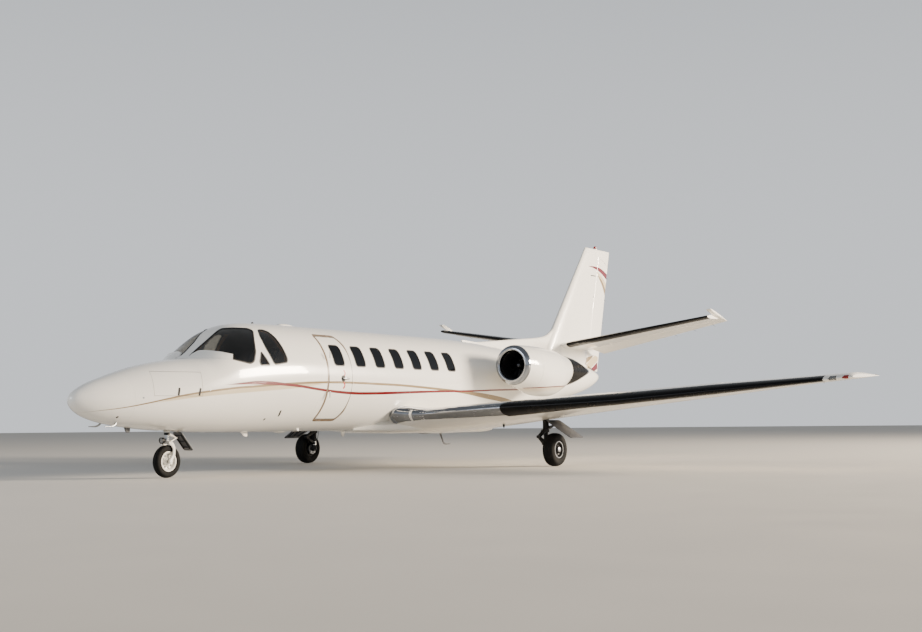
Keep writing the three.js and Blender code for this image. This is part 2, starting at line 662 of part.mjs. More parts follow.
// Fairing under the fuselage that takes in the wing roots: side is the height of its widest
// edge, from where it slopes up and in to the fuselage.
const BELLY = [
  { y: -1950, half: 250, side: 650, bottom: 606 },
  { y: -1550, half: 470, side: 700, bottom: 580 },
  { y: -1150, half: 780, side: 715, bottom: 565 },
  { y: -600, half: 880, side: 700, bottom: 560 },
  { y: 1000, half: 880, side: 650, bottom: 560 },
  { y: 1450, half: 700, side: 645, bottom: 575 },
  { y: 1900, half: 480, side: 700, bottom: 622 },
  { y: 2400, half: 260, side: 775, bottom: 725 },
];

function makeBelly() {
  const corner = 0.4;
  const steps = 12;
  const rings = BELLY.map(({ y, half, side, bottom }) => {
    const ring = [];
    for (let k = 0; k <= steps; k++) {
      const angle = Math.PI + (k * Math.PI) / steps;
      const across = half * signedPower(Math.cos(angle), corner);
      ring.push(vector(across, y, side + (side - bottom) * signedPower(Math.sin(angle), corner)));
    }
    ring.push(vector(half * 0.55, y, side + 110), vector(-half * 0.55, y, side + 110));
    return ring;
  });
  const port = common(cut(loft(rings), outerSkin), box(-0.1, 1000, NOSE_Y, TAIL_Y, 0, 2000));
  const fairing = join(port, mirrored(port));
  piece('belly_fairing', fairing, 'white');
  return fairing;
}

// Tailplane with drooped elevators. The elevators carry the balance horns at the tips.
function makeTailplane() {
  const half = loft([
    ...[0, 1600, 3170].map((x) => wingRing(STAB, x, 0)),
    wingRing(STAB, STAB.tip, 0, 0.5),
  ]);
  const hinge = (x) => hingePoint(STAB, x, ELEVATOR.hinge, 0);
  const inner = hinge(ELEVATOR.from);
  const outer = hinge(STAB.tip + 60);
  const hornAt = hinge(ELEVATOR.horn);
  const aft = vector(0, 1, 0);
  const radii = [ELEVATOR.from, STAB.tip].map((x) => noseRadius(STAB, x, ELEVATOR.hinge));
  const space = join(
    behindHinge(inner, outer, aft, radii.map((radius) => radius + MOVING_GAP), 0),
    hingeBox(hornAt, outer, aft, [0, 500, -900, 900, -400, 400]),
    box(-1, ELEVATOR.from + 1, inner.y - radii[0], TAIL_Y, 2000, 3000),
  );
  const elevator = common(half, join(
    behindHinge(inner, outer, aft, radii, MOVING_GAP),
    hingeBox(hornAt, outer, aft, [MOVING_GAP, 500, -900, 900, -400, 400]),
  ));
  const along = outer.clone().sub(inner).normalize();
  const droop = new THREE.Matrix4().makeTranslation(inner.x, inner.y, inner.z)
    .multiply(new THREE.Matrix4().makeRotationAxis(along, radians(-ELEVATOR.droop)))
    .multiply(new THREE.Matrix4().makeTranslation(-inner.x, -inner.y, -inner.z));
  pair('elevator', moved(elevator, droop), 'white');
  const stab = cut(half, space);
  const whole = join(stab, mirrored(stab));
  piece('tailplane', whole, 'white');
  return whole;
}

// Fin sections are level, with the chord aft and the thickness across.
function finRing(z, scale = 1) {
  const lead = FIN.lead + (z - FIN.leadAt) * FIN.leadSlope;
  const trail = TAIL_Y - (FIN.top - z) * FIN.trailSlope;
  const chord = trail - lead;
  return airfoil(FIN.thick * scale, 0).map(([aft, up]) => vector(chord * up, lead + chord * aft, z));
}

const DORSAL = [
  { y: 1550, top: 2205, half: 8 },
  { y: 1900, top: 2232, half: 26 },
  { y: 3200, top: 2345, half: 34 },
  { y: 4600, top: 2500, half: 40 },
  { y: 4800, top: 2600, half: 40 },
  { y: 5050, top: 2780, half: 44 },
];

function makeFin(tailplane) {
  const blade = loft([finRing(FIN.base), finRing(3000), finRing(FIN.top - 40), finRing(FIN.top, 0.6)]);
  const dorsal = loft(DORSAL.map(({ y, top, half }) => {
    const foot = hullSection(y).top - 120;
    return [
      vector(half * 2.2, y, foot), vector(half * 1.5, y, foot + 110),
      vector(half, y, (top + foot + 110) / 2),
      vector(half * 0.6, y, top - 12), vector(0, y, top), vector(-half * 0.6, y, top - 12),
      vector(-half, y, (top + foot + 110) / 2),
      vector(-half * 1.5, y, foot + 110), vector(-half * 2.2, y, foot),
    ];
  }));
  const root = loft([
    { y: 4750, half: 40, top: 2100 },
    { y: 5000, half: 120, top: 2300 },
    { y: 5500, half: 165, top: 2330 },
    { y: 6050, half: 120, top: 2330 },
    { y: 6190, half: 70, top: 2320 },
  ].map(({ y, half, top }) => {
    const foot = hullSection(y).top - 160;
    return [[1.25, foot], [1, top - 90], [0.7, top - 15], [-0.7, top - 15], [-1, top - 90], [-1.25, foot]]
      .map(([share, z]) => vector(share * half, y, z));
  }));
  const foot = vector(0, RUDDER.hingeY, RUDDER.hingeZ);
  const axis = vector(0, RUDDER.slope, 1).normalize();
  const head = foot.clone().addScaledVector(axis, RUDDER.length);
  const aft = vector(0, 1, 0);
  const radii = [RUDDER.grip, RUDDER.gripTop];
  const space = behindHinge(foot, head, aft, radii.map((radius) => radius + MOVING_GAP), 0);
  const below = foot.clone().addScaledVector(axis, -600);
  const rudder = common(blade, behindHinge(foot, head, aft, radii, MOVING_GAP));
  const clear = behindHinge(below, foot, aft, radii.map((radius) => radius + MOVING_GAP), -1);
  const tailSpace = spaceFor(tailplane);
  const fin = cut(join(blade, dorsal, root), space, clear, outerSkin, tailSpace);
  piece('fin', fin, 'white');
  piece('rudder', cut(rudder, tailSpace), 'white');
  piece('beacon', join(
    rod(vector(0, 6800, FIN.top + REST_GAP), vector(0, 6800, FIN.top + 50), 40, 34),
    rod(vector(0, 6800, FIN.top + 49), vector(0, 6800, 4570), 34, 16),
  ), 'glass');
}

// Engines: polished lip, cowl, fan, core block with its exhaust cone, reverser nozzle and pylon
function nacelleRing(row, inset = 0) {
  const ring = [];
  for (let k = 0; k < NACELLE_SIDES; k++) {
    const angle = (k / NACELLE_SIDES) * 2 * Math.PI;
    ring.push(vector(
      ENGINE.x + (row.wide - inset) * Math.cos(angle), row.y, row.z + (row.high - inset) * Math.sin(angle),
    ));
  }
  return ring;
}

function makeEngines() {
  const cowlSkin = loft(NACELLE.map((row) => nacelleRing(row, -REST_GAP)));
  const front = NACELLE[0];
  const rear = NACELLE.at(-1);
  const bore = (y0, y1, z, radius) => rod(
    vector(ENGINE.x, y0, z), vector(ENGINE.x, y1, z), radius, radius, NACELLE_SIDES,
  );
  const cowl = cut(
    loft(NACELLE.map((row) => nacelleRing(row))),
    bore(front.y - 10, 1760, front.z, ENGINE.intake),
    bore(1700, 2900, rear.z, ENGINE.bore),
  );
  pair('nacelle', cowl, 'white');
  const lip = turned([
    [front.wide, front.y - REST_GAP], [front.wide - 8, front.y - 45], [front.wide - 38, ENGINE.face + 28],
    [front.wide - 62, ENGINE.face + 3], [front.wide - 78, ENGINE.face], [front.wide - 94, ENGINE.face + 8],
    [front.wide - 108, ENGINE.face + 40], [ENGINE.intake - 4, ENGINE.face + 80],
    [ENGINE.intake, front.y - REST_GAP],
  ], vector(ENGINE.x, 0, front.z), vector(0, 1, 0), NACELLE_SIDES);
  pair('intake_lip', lip, 'polished');

  const blades = [];
  const bladeCount = 14;
  for (let k = 0; k < bladeCount; k++) {
    const turn = (k / bladeCount) * 2 * Math.PI;
    const geometry = new THREE.BoxGeometry(11, 76, 182);
    geometry.applyMatrix4(new THREE.Matrix4().makeRotationZ(radians(42)));
    geometry.translate(0, 0, 146);
    geometry.applyMatrix4(new THREE.Matrix4().makeRotationY(turn));
    geometry.translate(ENGINE.x, ENGINE.fanY, front.z);
    blades.push(solidOf(geometry));
  }
  const fan = join(
    rod(vector(ENGINE.x, ENGINE.fanY - 150, front.z), vector(ENGINE.x, ENGINE.fanY - 40, front.z), 16, 84),
    rod(vector(ENGINE.x, ENGINE.fanY - 41, front.z), vector(ENGINE.x, ENGINE.fanY + 45, front.z), 84, 92),
    ...blades,
  );
  pair('fan', fan, 'steel');

  const core = join(
    bore(1790, 2760, rear.z, ENGINE.core),
    rod(vector(ENGINE.x, 2759, rear.z), vector(ENGINE.x, 3180, rear.z), 130, 30),
  );
  pair('engine_core', core, 'exhaust');

  const nozzle = turned([
    [288, rear.y + REST_GAP], [280, 3000], [262, 3250], [238, NOZZLE.tip],
    [226, NOZZLE.tip], [246, 3250], [262, 3000], [270, rear.y + REST_GAP],
  ], vector(ENGINE.x, 0, rear.z), vector(0, 1, 0), NACELLE_SIDES);
  const corner = NOZZLE.tip - NOZZLE.run * NOZZLE.halfHeight;
  const arrowHead = slot([
    [NOZZLE.tip, rear.z], [corner, rear.z + NOZZLE.halfHeight], [rear.y, rear.z + NOZZLE.halfHeight],
    [rear.y, rear.z - NOZZLE.halfHeight], [corner, rear.z - NOZZLE.halfHeight],
  ], SIDE_VIEW, 800, 1900);
  pair('nozzle', common(nozzle, arrowHead), 'exhaust');

  const pylonRing = (x) => airfoil(0.07, 0).map(
    ([aft, up]) => vector(x, 1650 + 1500 * aft, 1705 + 1500 * up),
  );
  const hidden = hull(JOIN.tail, JOIN.tip, TAIL_WALL / 2);
  const space = join(bore(1000, 2800, front.z, 300), bore(2700, 3300, rear.z, 312));
  return cut(loft([pylonRing(600), pylonRing(1300)]), hidden, cowlSkin, space);
}

// Wheels and tyres: turned about a level axis across the aircraft
function tyre(centre, radius, width, rim) {
  const side = width / 2;
  const profile = [
    [rim, -side * 0.72], [rim + 0.45 * (radius - rim), -side], [radius - 0.13 * (radius - rim), -side * 0.86],
    [radius, -side * 0.5], [radius, side * 0.5],
    [radius - 0.13 * (radius - rim), side * 0.86], [rim + 0.45 * (radius - rim), side], [rim, side * 0.72],
  ];
  return turned(profile, centre, vector(1, 0, 0));
}

function wheel(centre, rim, width, bore) {
  const edge = rim - REST_GAP;
  const side = width * 0.37;
  const profile = [
    [bore, -side * 0.7], [bore + 30, -side * 0.7], [rim - 22, -side * 0.3], [rim - 12, -side], [edge, -side],
    [edge, side], [rim - 12, side], [rim - 22, side * 0.3], [bore + 30, side * 0.7], [bore, side * 0.7],
  ];
  return turned(profile, centre, vector(1, 0, 0));
}

const wheelHeight = (radius) => radius * Math.cos(Math.PI / WHEEL_SIDES);

function makeNoseGear() {
  const { y, tyre: radius, tyreWidth, rim, wellTop, wellBack } = NOSE_GEAR;
  const axleZ = wheelHeight(radius);
  const top = wellTop - REST_GAP;
  const leg = join(
    rod(vector(0, y, 626), vector(0, y, top), 42),
    rod(vector(-149, y, 900), vector(149, y, 900), 26),
    rod(vector(0, y + 20, 700), vector(0, y + 150, top), 16, 16, 8),
  );
  piece('nose_leg', common(leg, box(-200, 200, y - 100, wellBack - REST_GAP, 500, top)), 'white');
  const arm = tyreWidth / 2 + 17;
  const fork = join(
    rod(vector(0, y, 470), vector(0, y, 620), 27),
    rod(vector(0, y, 600), vector(0, y, 619), 40),
    bar(vector(-arm - 9, y + 14, 478), vector(arm + 9, y + 14, 478), vector(0, 0, 1), 34, 70),
    bar(vector(arm, y + 20, 490), vector(arm, y, axleZ - 20), vector(0, 1, 0), 50, 18),
    bar(vector(-arm, y + 20, 490), vector(-arm, y, axleZ - 20), vector(0, 1, 0), 50, 18),
    rod(vector(-arm - 20, y, axleZ), vector(arm + 20, y, axleZ), 20),
    bar(vector(0, y + 20, 608), vector(0, y + 165, 545), vector(1, 0, 0), 46, 16),
    bar(vector(0, y + 165, 545), vector(0, y + 30, 488), vector(1, 0, 0), 46, 16),
  );
  piece('nose_fork', fork, 'white');
  piece('nose_tyre', tyre(vector(0, y, axleZ), radius, tyreWidth, rim), 'rubber');
  piece('nose_wheel', wheel(vector(0, y, axleZ), rim, tyreWidth, 25), 'white');
  const lean = radians(42);
  const head = vector(0, -5567, 626);
  const length = 345;
  const foot = vector(0, head.y + length * Math.sin(lean), head.z - length * Math.cos(lean));
  const door = join(
    bar(head, foot, vector(1, 0, 0), 180, 14),
    bar(vector(0, -5606, 673), vector(0, -5380, 480), vector(1, 0, 0), 26, 18),
    bar(vector(0, -5400, 497), vector(0, -5400, 440), vector(1, 0, 0), 26, 40),
  );
  piece('nose_gear_door', door, 'dark');
}

function makeMainGear() {
  const { x, y, tyre: radius, tyreWidth, rim, legX } = MAIN_GEAR;
  const axleZ = wheelHeight(radius);
  const top = 905 - REST_GAP;
  const leg = join(
    rod(vector(legX, y, 560), vector(legX, y, top), 52, 52),
    rod(vector(legX, y, axleZ), vector(legX, y, 561), 36, 36),
    rod(vector(legX, y, axleZ), vector(x + 60, y, axleZ), 24),
    rod(vector(legX - 20, y, axleZ), vector(legX + 46, y, axleZ), 46, 46),
    bar(vector(legX, y - 40, 600), vector(legX, y - 190, 470), vector(1, 0, 0), 60, 18),
    bar(vector(legX, y - 190, 476), vector(legX, y - 30, 340), vector(1, 0, 0), 60, 18),
    rod(vector(legX, y, 850), vector(legX - 420, y, top), 26, 26),
  );
  const brake = rod(vector(legX + 40, y, axleZ), vector(legX + 84, y, axleZ), 100, 100, 20);
  pair('main_leg', common(join(leg, brake), box(1995, 3000, y - 250, y + 109, 0, top)), 'dark');
  pair('main_tyre', tyre(vector(x, y, axleZ), radius, tyreWidth, rim), 'rubber');
  pair('main_wheel', wheel(vector(x, y, axleZ), rim, tyreWidth, 29), 'steel');
  const droop = radians(32);
  const length = 545;
  const head = vector(legX + 120, y + 15, 757);
  const foot = vector(head.x + length * Math.cos(droop), y + 15, head.z - length * Math.sin(droop));
  pair('main_gear_door', bar(head, foot, vector(0, 1, 0), 440, 15), 'white');
}

// Cabin floor with its dropped aisle, seats and instrument panel
function makeInterior() {
  const inside = lining(JOIN.cockpit, JOIN.tail - 60 - REST_GAP, WALL + REST_GAP);
  const aisle = 200;
  const profile = [
    [-700, 850], [-aisle - 20, 850], [-aisle - 20, 715], [aisle + 20, 715], [aisle + 20, 850], [700, 850],
    [700, 870], [aisle, 870], [aisle, 735], [-aisle, 735], [-aisle, 870], [-700, 870],
  ];
  const ends = [JOIN.cockpit + 40, JOIN.tail - 65];
  const floor = loft(ends.map((y) => profile.map(([x, z]) => vector(x, y, z))));
  piece('cabin_floor', common(floor, inside), 'carpet');
  const seat = (x, y, facing, low, width) => join(
    box(x - width / 2, x + width / 2, y - 250, y + 250, low + 60, low + 300),
    box(
      x - width / 2, x + width / 2,
      facing > 0 ? y - 250 : y + 130, facing > 0 ? y - 130 : y + 250,
      low + 60, low + 930,
    ),
    box(x - 120, x + 120, y - 180, y + 180, low, low + 61),
  );
  const seatRow = (stations) => join(
    box(
      380, 460,
      Math.min(...stations.map((row) => row.y)) - 200, Math.max(...stations.map((row) => row.y)) + 200,
      870.3, 895,
    ),
    ...stations.map(({ y, facing }) => seat(420, y, facing, 870.3, 420)),
  );
  const rows = [{ y: -1900, facing: 1 }, { y: -900, facing: -1 }, { y: 250, facing: -1 }];
  pair('cabin_seats', common(seatRow(rows), inside), 'leather');
  pair('cockpit_seat', common(seat(340, -4350, -1, 870.3, 430), inside), 'leather');
  const panel = common(
    join(
      box(-640, 640, -5330, -5080, 1080, 1600),
      box(-660, 660, -5330, -4950, 1590, 1625),
      box(-110, 110, -5100, -4700, 870.3, 1180),
    ),
    inside,
  );
  piece('instrument_panel', panel, 'dark');
}

makeNose();
makeCabin();
makeTail(makeEngines());
makeWings(makeBelly());
makeFin(makeTailplane());
makeNoseGear();
makeMainGear();
makeInterior();

export default aircraft;
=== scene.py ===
# %% [markdown]
# # A parked twin-engine business jet
# The solids of the aircraft come from its CAD model and stay where they are. This lesson dresses
# them: most shells are built again here on finer rings from the same few dimensions, so that the
# gloss paint shows a smooth highlight, and the CAD node behind each one is then hidden.
# Everything is in metres: the nose points along -Y, the port wing along +X, and Z is up.

# %% Load the CAD frame
from math import ceil, copysign, cos, hypot, pi, radians, sin, sqrt, tan

import bmesh
import bpy
import numpy as np
from mathutils import Matrix, Vector


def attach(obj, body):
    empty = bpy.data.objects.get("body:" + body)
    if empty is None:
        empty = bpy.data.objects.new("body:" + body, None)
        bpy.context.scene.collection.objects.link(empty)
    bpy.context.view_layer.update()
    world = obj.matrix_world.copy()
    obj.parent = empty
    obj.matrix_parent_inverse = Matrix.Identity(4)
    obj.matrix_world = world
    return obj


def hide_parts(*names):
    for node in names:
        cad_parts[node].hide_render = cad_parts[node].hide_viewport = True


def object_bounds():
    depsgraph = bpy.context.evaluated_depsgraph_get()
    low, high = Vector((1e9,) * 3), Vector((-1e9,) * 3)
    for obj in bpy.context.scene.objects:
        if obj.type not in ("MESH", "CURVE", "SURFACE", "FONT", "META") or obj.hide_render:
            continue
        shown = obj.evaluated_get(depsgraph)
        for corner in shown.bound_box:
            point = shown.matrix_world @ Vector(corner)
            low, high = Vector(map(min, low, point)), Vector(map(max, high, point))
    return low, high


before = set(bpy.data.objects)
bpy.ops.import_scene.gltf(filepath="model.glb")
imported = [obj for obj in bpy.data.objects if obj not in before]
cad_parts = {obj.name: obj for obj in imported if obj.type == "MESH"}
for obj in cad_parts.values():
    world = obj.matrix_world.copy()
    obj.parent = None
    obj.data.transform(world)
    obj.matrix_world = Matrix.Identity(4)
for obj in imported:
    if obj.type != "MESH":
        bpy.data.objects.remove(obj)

cad_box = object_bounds()
print("CAD box", [round(v, 3) for v in cad_box[0]], [round(v, 3) for v in cad_box[1]])

# %% [markdown]
# ## The camera
# A photograph fixes a camera by what lines up in it. This one stands ahead of the port wing tip,
# lower than the windows, and looks back along the fuselage a little upwards. Its axes are worked
# out from a heading, a pitch and a small roll, and written straight into the camera's matrix.

# %% Camera
def in_scene(name, data):
    thing = bpy.data.objects.new(name, data)
    bpy.context.scene.collection.objects.link(thing)
    return thing


def camera_matrix(place, heading, pitch, roll):
    level = cos(pitch)
    ahead = Vector((sin(heading) * level, cos(heading) * level, sin(pitch)))
    right = ahead.cross(Vector((0, 0, 1))).normalized()
    up = right.cross(ahead)
    side = right * cos(roll) + up * sin(roll)
    head = up * cos(roll) - right * sin(roll)
    matrix = Matrix((side, head, -ahead)).transposed().to_4x4()
    matrix.translation = Vector(place)
    return matrix


camera = in_scene("camera", bpy.data.cameras.new("camera"))
camera.matrix_world = camera_matrix(
    (13.67, -18.608, 0.714), radians(-34.165), radians(4.677), radians(-0.49),
)
camera.data.lens = 51.335
camera.data.sensor_width = 36
camera.data.clip_end = 500
bpy.context.scene.camera = camera
print("camera", [round(v, 2) for v in camera.location], "lens", camera.data.lens)

# %% [markdown]
# ## Colour and nodes
# Paint makers and screens name colours in sRGB, but a renderer adds up light, so each hex value is
# turned to linear once, here. One more helper adds a shader node with its settings and its links.

# %% Colour and node helpers
def linear(code):
    parts = [int(code[i:i + 2], 16) / 255 for i in (0, 2, 4)]
    return tuple(c / 12.92 if c <= 0.04045 else ((c + 0.055) / 1.055) ** 2.4 for c in parts) + (1.0,)


def add(tree, kind, feeds=None, **settings):
    node = tree.nodes.new("ShaderNode" + kind)
    for name, value in settings.items():
        setattr(node, name, value)
    for socket, source in (feeds or {}).items():
        if isinstance(source, bpy.types.NodeSocket):
            tree.links.new(source, node.inputs[socket])
        else:
            node.inputs[socket].default_value = source
    return node


def new_material(name, colour, **sockets):
    material = bpy.data.materials.new(name)
    material.use_nodes = True
    tree = material.node_tree
    shader = tree.nodes["Principled BSDF"]
    shader.inputs["Base Color"].default_value = linear(colour)
    for socket, value in sockets.items():
        shader.inputs[socket.replace("_", " ")].default_value = value
    return material, tree, shader


def blend_colours(tree, share, below, above):
    return add(tree, "Mix", {0: share, 6: below, 7: above}, data_type="RGBA").outputs[2]


def two_tones(tree, shader, share, first, second):
    tree.links.new(blend_colours(tree, share, linear(first), linear(second)), shader.inputs["Base Color"])


def sum_up(tree, operation, *values):
    return add(tree, "Math", dict(enumerate(values)), operation=operation).outputs[0]


def remap(tree, value, start, end, low=0, high=1, **settings):
    return add(tree, "MapRange", {0: value, 1: start, 2: end, 3: low, 4: high}, **settings).outputs[0]


def place_of(tree, apart=False):
    """The point in the piece's own space, whole or as its three coordinates."""
    place = add(tree, "TexCoord").outputs["Object"]
    return add(tree, "SeparateXYZ", {0: place}).outputs if apart else place


def noise(tree, size, detail=3, roughness=0.5):
    feeds = {"Vector": place_of(tree), "Scale": 1 / size, "Detail": detail, "Roughness": roughness}
    return add(tree, "TexNoise", feeds).outputs["Fac"]


def raise_surface(tree, shader, height, depth, strength=1.0):
    bump = add(tree, "Bump", {"Height": height, "Distance": depth, "Strength": strength})
    tree.links.new(bump.outputs[0], shader.inputs["Normal"])


def vary_roughness(tree, shader, value, low, high):
    tree.links.new(remap(tree, value, 0.3, 0.7, low, high), shader.inputs["Roughness"])


print("white paint in linear light", [round(c, 3) for c in linear("F2F1EE")])

# %% [markdown]
# ## Floor and light
# A plain pale floor and a bright even room keep attention on the aircraft. Two broad soft lights
# do the modelling: one high on the port side towards the tail, where the sun stood, and a weaker
# one ahead of the nose. The undersides are left in their own shade, as they are out of doors.

# %% Floor
floor_paint, tree, shader = new_material("pale concrete floor", "C9C5BD", Roughness=0.75)
speckle = noise(tree, 0.9, 6)
vary_roughness(tree, shader, speckle, 0.68, 0.82)
two_tones(tree, shader, speckle, "C4C0B8", "CDC9C1")
floor_mesh = bpy.data.meshes.new("floor")
FLOOR_RADIUS = 160
turns = [k * pi / 48 for k in range(96)]
floor_mesh.from_pydata([(FLOOR_RADIUS * cos(t), FLOOR_RADIUS * sin(t), 0) for t in turns], [],
    [list(range(96))])
floor_mesh.materials.append(floor_paint)
floor = in_scene("floor", floor_mesh)
print("floor", FLOOR_RADIUS, "m in radius")

# %% Room and lamps
world = bpy.data.worlds.new("bright room")
bpy.context.scene.world = world
world.use_nodes = True
background = world.node_tree.nodes["Background"]
background.inputs["Color"].default_value = linear("E9EDF2")
direction = add(world.node_tree, "TexCoord").outputs["Generated"]
height = add(world.node_tree, "SeparateXYZ", {0: direction}).outputs[2]
dimmed = remap(world.node_tree, height, 0.1, 0.75, 1.0, 0.32, interpolation_type="SMOOTHSTEP")
world.node_tree.links.new(dimmed, background.inputs["Strength"])


def soft_lamp(name, place, aim, size, watts, tint):
    data = bpy.data.lights.new(name, "AREA")
    data.shape = "RECTANGLE"
    data.size, data.size_y = size
    data.energy = watts
    data.color = linear(tint)[:3]
    lamp = in_scene(name, data)
    lamp.location = place
    lamp.rotation_mode = "QUATERNION"
    lamp.rotation_quaternion = (Vector(aim) - Vector(place)).to_track_quat("-Z", "Y")
    print(name, watts, "W")


soft_lamp("key lamp", (34, 24, 11), (0, -1, 1.3), (14, 8), 60000, "FFEDD6")
soft_lamp("nose lamp", (-6, -22, 9), (0, -2, 1), (12, 6), 1200, "EAF2FF")

# %% [markdown]
# ## Gloss white polyurethane
# Business jets are sprayed with two-part polyurethane under a clear coat: a deep even gloss with a
# faint orange peel. Skin panels also pull in slightly between their ribs, which makes long
# reflections waver. Real orange peel is 2 to 4 mm across, too fine to see here, so the bump is
# drawn at 60 mm and very shallow, with a broader one at 450 mm for the panels.

# %% White paint
WHITE = "F3F1EB"


def white_paint(name, extra=None):
    material, tree, shader = new_material(name, WHITE, Roughness=0.22, Coat_Weight=0.6, Coat_Roughness=0.04)
    dust = noise(tree, 1.1, 5)
    base = blend_colours(tree, sum_up(tree, "MULTIPLY", dust, 0.35), linear(WHITE), linear("E4E0D6"))
    if extra:
        base = extra(tree, base)
    tree.links.new(base, shader.inputs["Base Color"])
    vary_roughness(tree, shader, dust, 0.18, 0.27)
    panels, peel = noise(tree, 0.45, 1), noise(tree, 0.06, 2)
    height = sum_up(tree, "ADD", panels, sum_up(tree, "MULTIPLY", peel, 0.12))
    raise_surface(tree, shader, height, 0.0016, 0.5)
    return material


plain_white = white_paint("gloss white polyurethane")
print("made", plain_white.name)

# %% [markdown]
# ## Painted lines
# The trim lines are masked and sprayed over the white, so they are colour only and cross panel
# joints and doors. Each line is a pair of curves along the fuselage, its height and its half width,
# read by one curve node each. A point is inside when it is nearer to the height than the width.

# %% Lines on the fuselage
NOSE, TAIL = cad_box[0].y, cad_box[1].y
TAUPE, CREAM, MAROON = "86714F", "D2C3A4", "6A000C"


def curve_along(tree, along, knots, low, high):
    """A curve through (station, value) knots; along is the share of the way between their ends."""
    node = add(tree, "FloatCurve", {"Value": along})
    curve = node.mapping.curves[0]
    start, end = knots[0][0], knots[-1][0]
    shares = [((y - start) / (end - start), (value - low) / (high - low)) for y, value in knots]
    for share, level in shares[1:-1]:
        curve.points.new(share, level)
    curve.points[0].location, curve.points[-1].location = shares[0], shares[-1]
    node.mapping.update()
    return remap(tree, node.outputs[0], 0, 1, low, high, clamp=False)


def painted_line(tree, below, centre, half_widths, colour, soft=0.0015):
    _, y, z = place_of(tree, apart=True)
    along = remap(tree, y, NOSE, TAIL)
    height = curve_along(tree, along, centre, 0.8, 1.8)
    width = curve_along(tree, along, half_widths, -0.1, 0.1)
    away = sum_up(tree, "ABSOLUTE", sum_up(tree, "SUBTRACT", z, height))
    share = remap(tree, sum_up(tree, "SUBTRACT", width, away), -soft, soft)
    return blend_colours(tree, share, below, linear(colour))


TAUPE_LINE = [
    (-7.45, 0.885), (-7.31, 0.898), (-7.13, 0.921), (-6.89, 0.952), (-6.5, 1.025), (-6.22, 1.084),
    (-5.92, 1.141), (-5.6, 1.187), (-5.35, 1.217), (-5.09, 1.243), (-4.74, 1.27), (-4.28, 1.305),
    (-3.7, 1.338), (-3.21, 1.356), (-2.7, 1.36), (-2.0, 1.353), (-1.45, 1.345), (-0.83, 1.322),
    (-0.22, 1.294), (0.5, 1.254), (1.4, 1.18), (2.6, 1.08), (7.45, 0.85),
]
TAUPE_WIDTH = [
    (-7.45, -0.004), (-7.3, 0), (-6.9, 0.0057), (-6.2, 0.0114), (-4.7, 0.0157), (-2.0, 0.0186), (0.3, 0.0229),
    (1.4, 0.0429), (2.3, 0.0172), (2.6, -0.01), (7.45, -0.02),
]
MAROON_LINE = [
    (-7.45, 1.05), (-5.45, 1.266), (-5.09, 1.298), (-4.74, 1.318), (-4.52, 1.319), (-4.31, 1.309),
    (-3.88, 1.285), (-3.59, 1.258), (-3.2, 1.226), (-2.87, 1.207), (-2.55, 1.198), (-2.07, 1.204),
    (-1.53, 1.221), (-0.39, 1.259), (0.5, 1.28), (0.94, 1.294), (1.47, 1.314), (2.6, 1.345), (3.6, 1.37),
    (7.45, 1.4),
]
MAROON_WIDTH = [
    (-7.45, -0.02), (-5.5, -0.003), (-5.0, 0.0156), (-4.6, 0.0266), (-4.3, 0.0219), (-3.6, 0.0187),
    (-2.5, 0.0219), (-0.4, 0.0187), (0.9, 0.0156), (2.6, 0.0125), (3.2, -0.004), (7.45, -0.02),
]
TINT_LINE = [
    (-7.45, 0.85), (-6.5, 1.005), (-6.04, 1.095), (-5.55, 1.158), (-4.72, 1.232), (-4.09, 1.278),
    (-3.4, 1.322), (7.45, 1.3),
]
TINT_WIDTH = [
    (-7.45, -0.02), (-6.5, -0.004), (-6.0, 0.024), (-5.5, 0.032), (-4.72, 0.037), (-4.1, 0.036),
    (-3.5, 0.012), (-3.2, -0.006), (7.45, -0.02),
]


def fuselage_lines(tree, base):
    tinted = painted_line(tree, base, TINT_LINE, TINT_WIDTH, CREAM, 0.006)
    taupe = painted_line(tree, tinted, TAUPE_LINE, TAUPE_WIDTH, TAUPE)
    return painted_line(tree, taupe, MAROON_LINE, MAROON_WIDTH, MAROON)


fuselage_paint = white_paint("gloss white with painted lines", fuselage_lines)
print("lines use", len(fuselage_paint.node_tree.nodes), "nodes")

# %% [markdown]
# ## Bare metals
# Polished aluminium skin on the leading edges and intake lips is buffed by hand, so it mirrors the
# ground and sky with a slight waviness and fine streaks. Chrome on the sliding legs is sharper.
# Steel in the exhaust turns bronze and grey with heat. Real buffing streaks are finer than 1 mm,
# so they are drawn at 8 mm.

# %% Bare metals
def metal(name, colour, dull, rough, streak_size, depth):
    material, tree, shader = new_material(name, colour, Metallic=1.0)
    streaks = noise(tree, streak_size, 6, 0.6)
    vary_roughness(tree, shader, streaks, *rough)
    two_tones(tree, shader, streaks, colour, dull)
    raise_surface(tree, shader, streaks, depth, 0.4)
    return material


polished_aluminium = metal("hand-polished aluminium", "A4A8AE", "888C92", (0.06, 0.15), 0.12, 0.0008)
chrome = metal("hard chrome", "E2E4E6", "C8CBCE", (0.05, 0.12), 0.008, 0.0001)
machined_steel = metal("machined steel", "A9ABAE", "7F8286", (0.25, 0.42), 0.01, 0.0002)
# The fan is drawn far darker than bare titanium: painted shade for the dark inside of the intake.
fan_titanium_in_painted_shade = metal("titanium fan blades", "4A4C50", "333538", (0.28, 0.4), 0.02, 0.0002)
burnt_steel = metal("heat-stained steel", "5A5854", "2F2E2D", (0.3, 0.55), 0.09, 0.0006)
print("5 metals")

# %% [markdown]
# ## Rubber, enamel and plastics
# De-ice boots are smooth black neoprene sheet cemented over the leading edge, with a soft shine.
# Tyres are duller, dusted grey by the ramp. Gear parts carry a satin enamel. The cockpit trim and
# instrument panel are moulded plastic with a fine pebble, drawn at 3 mm instead of 0.5 mm.

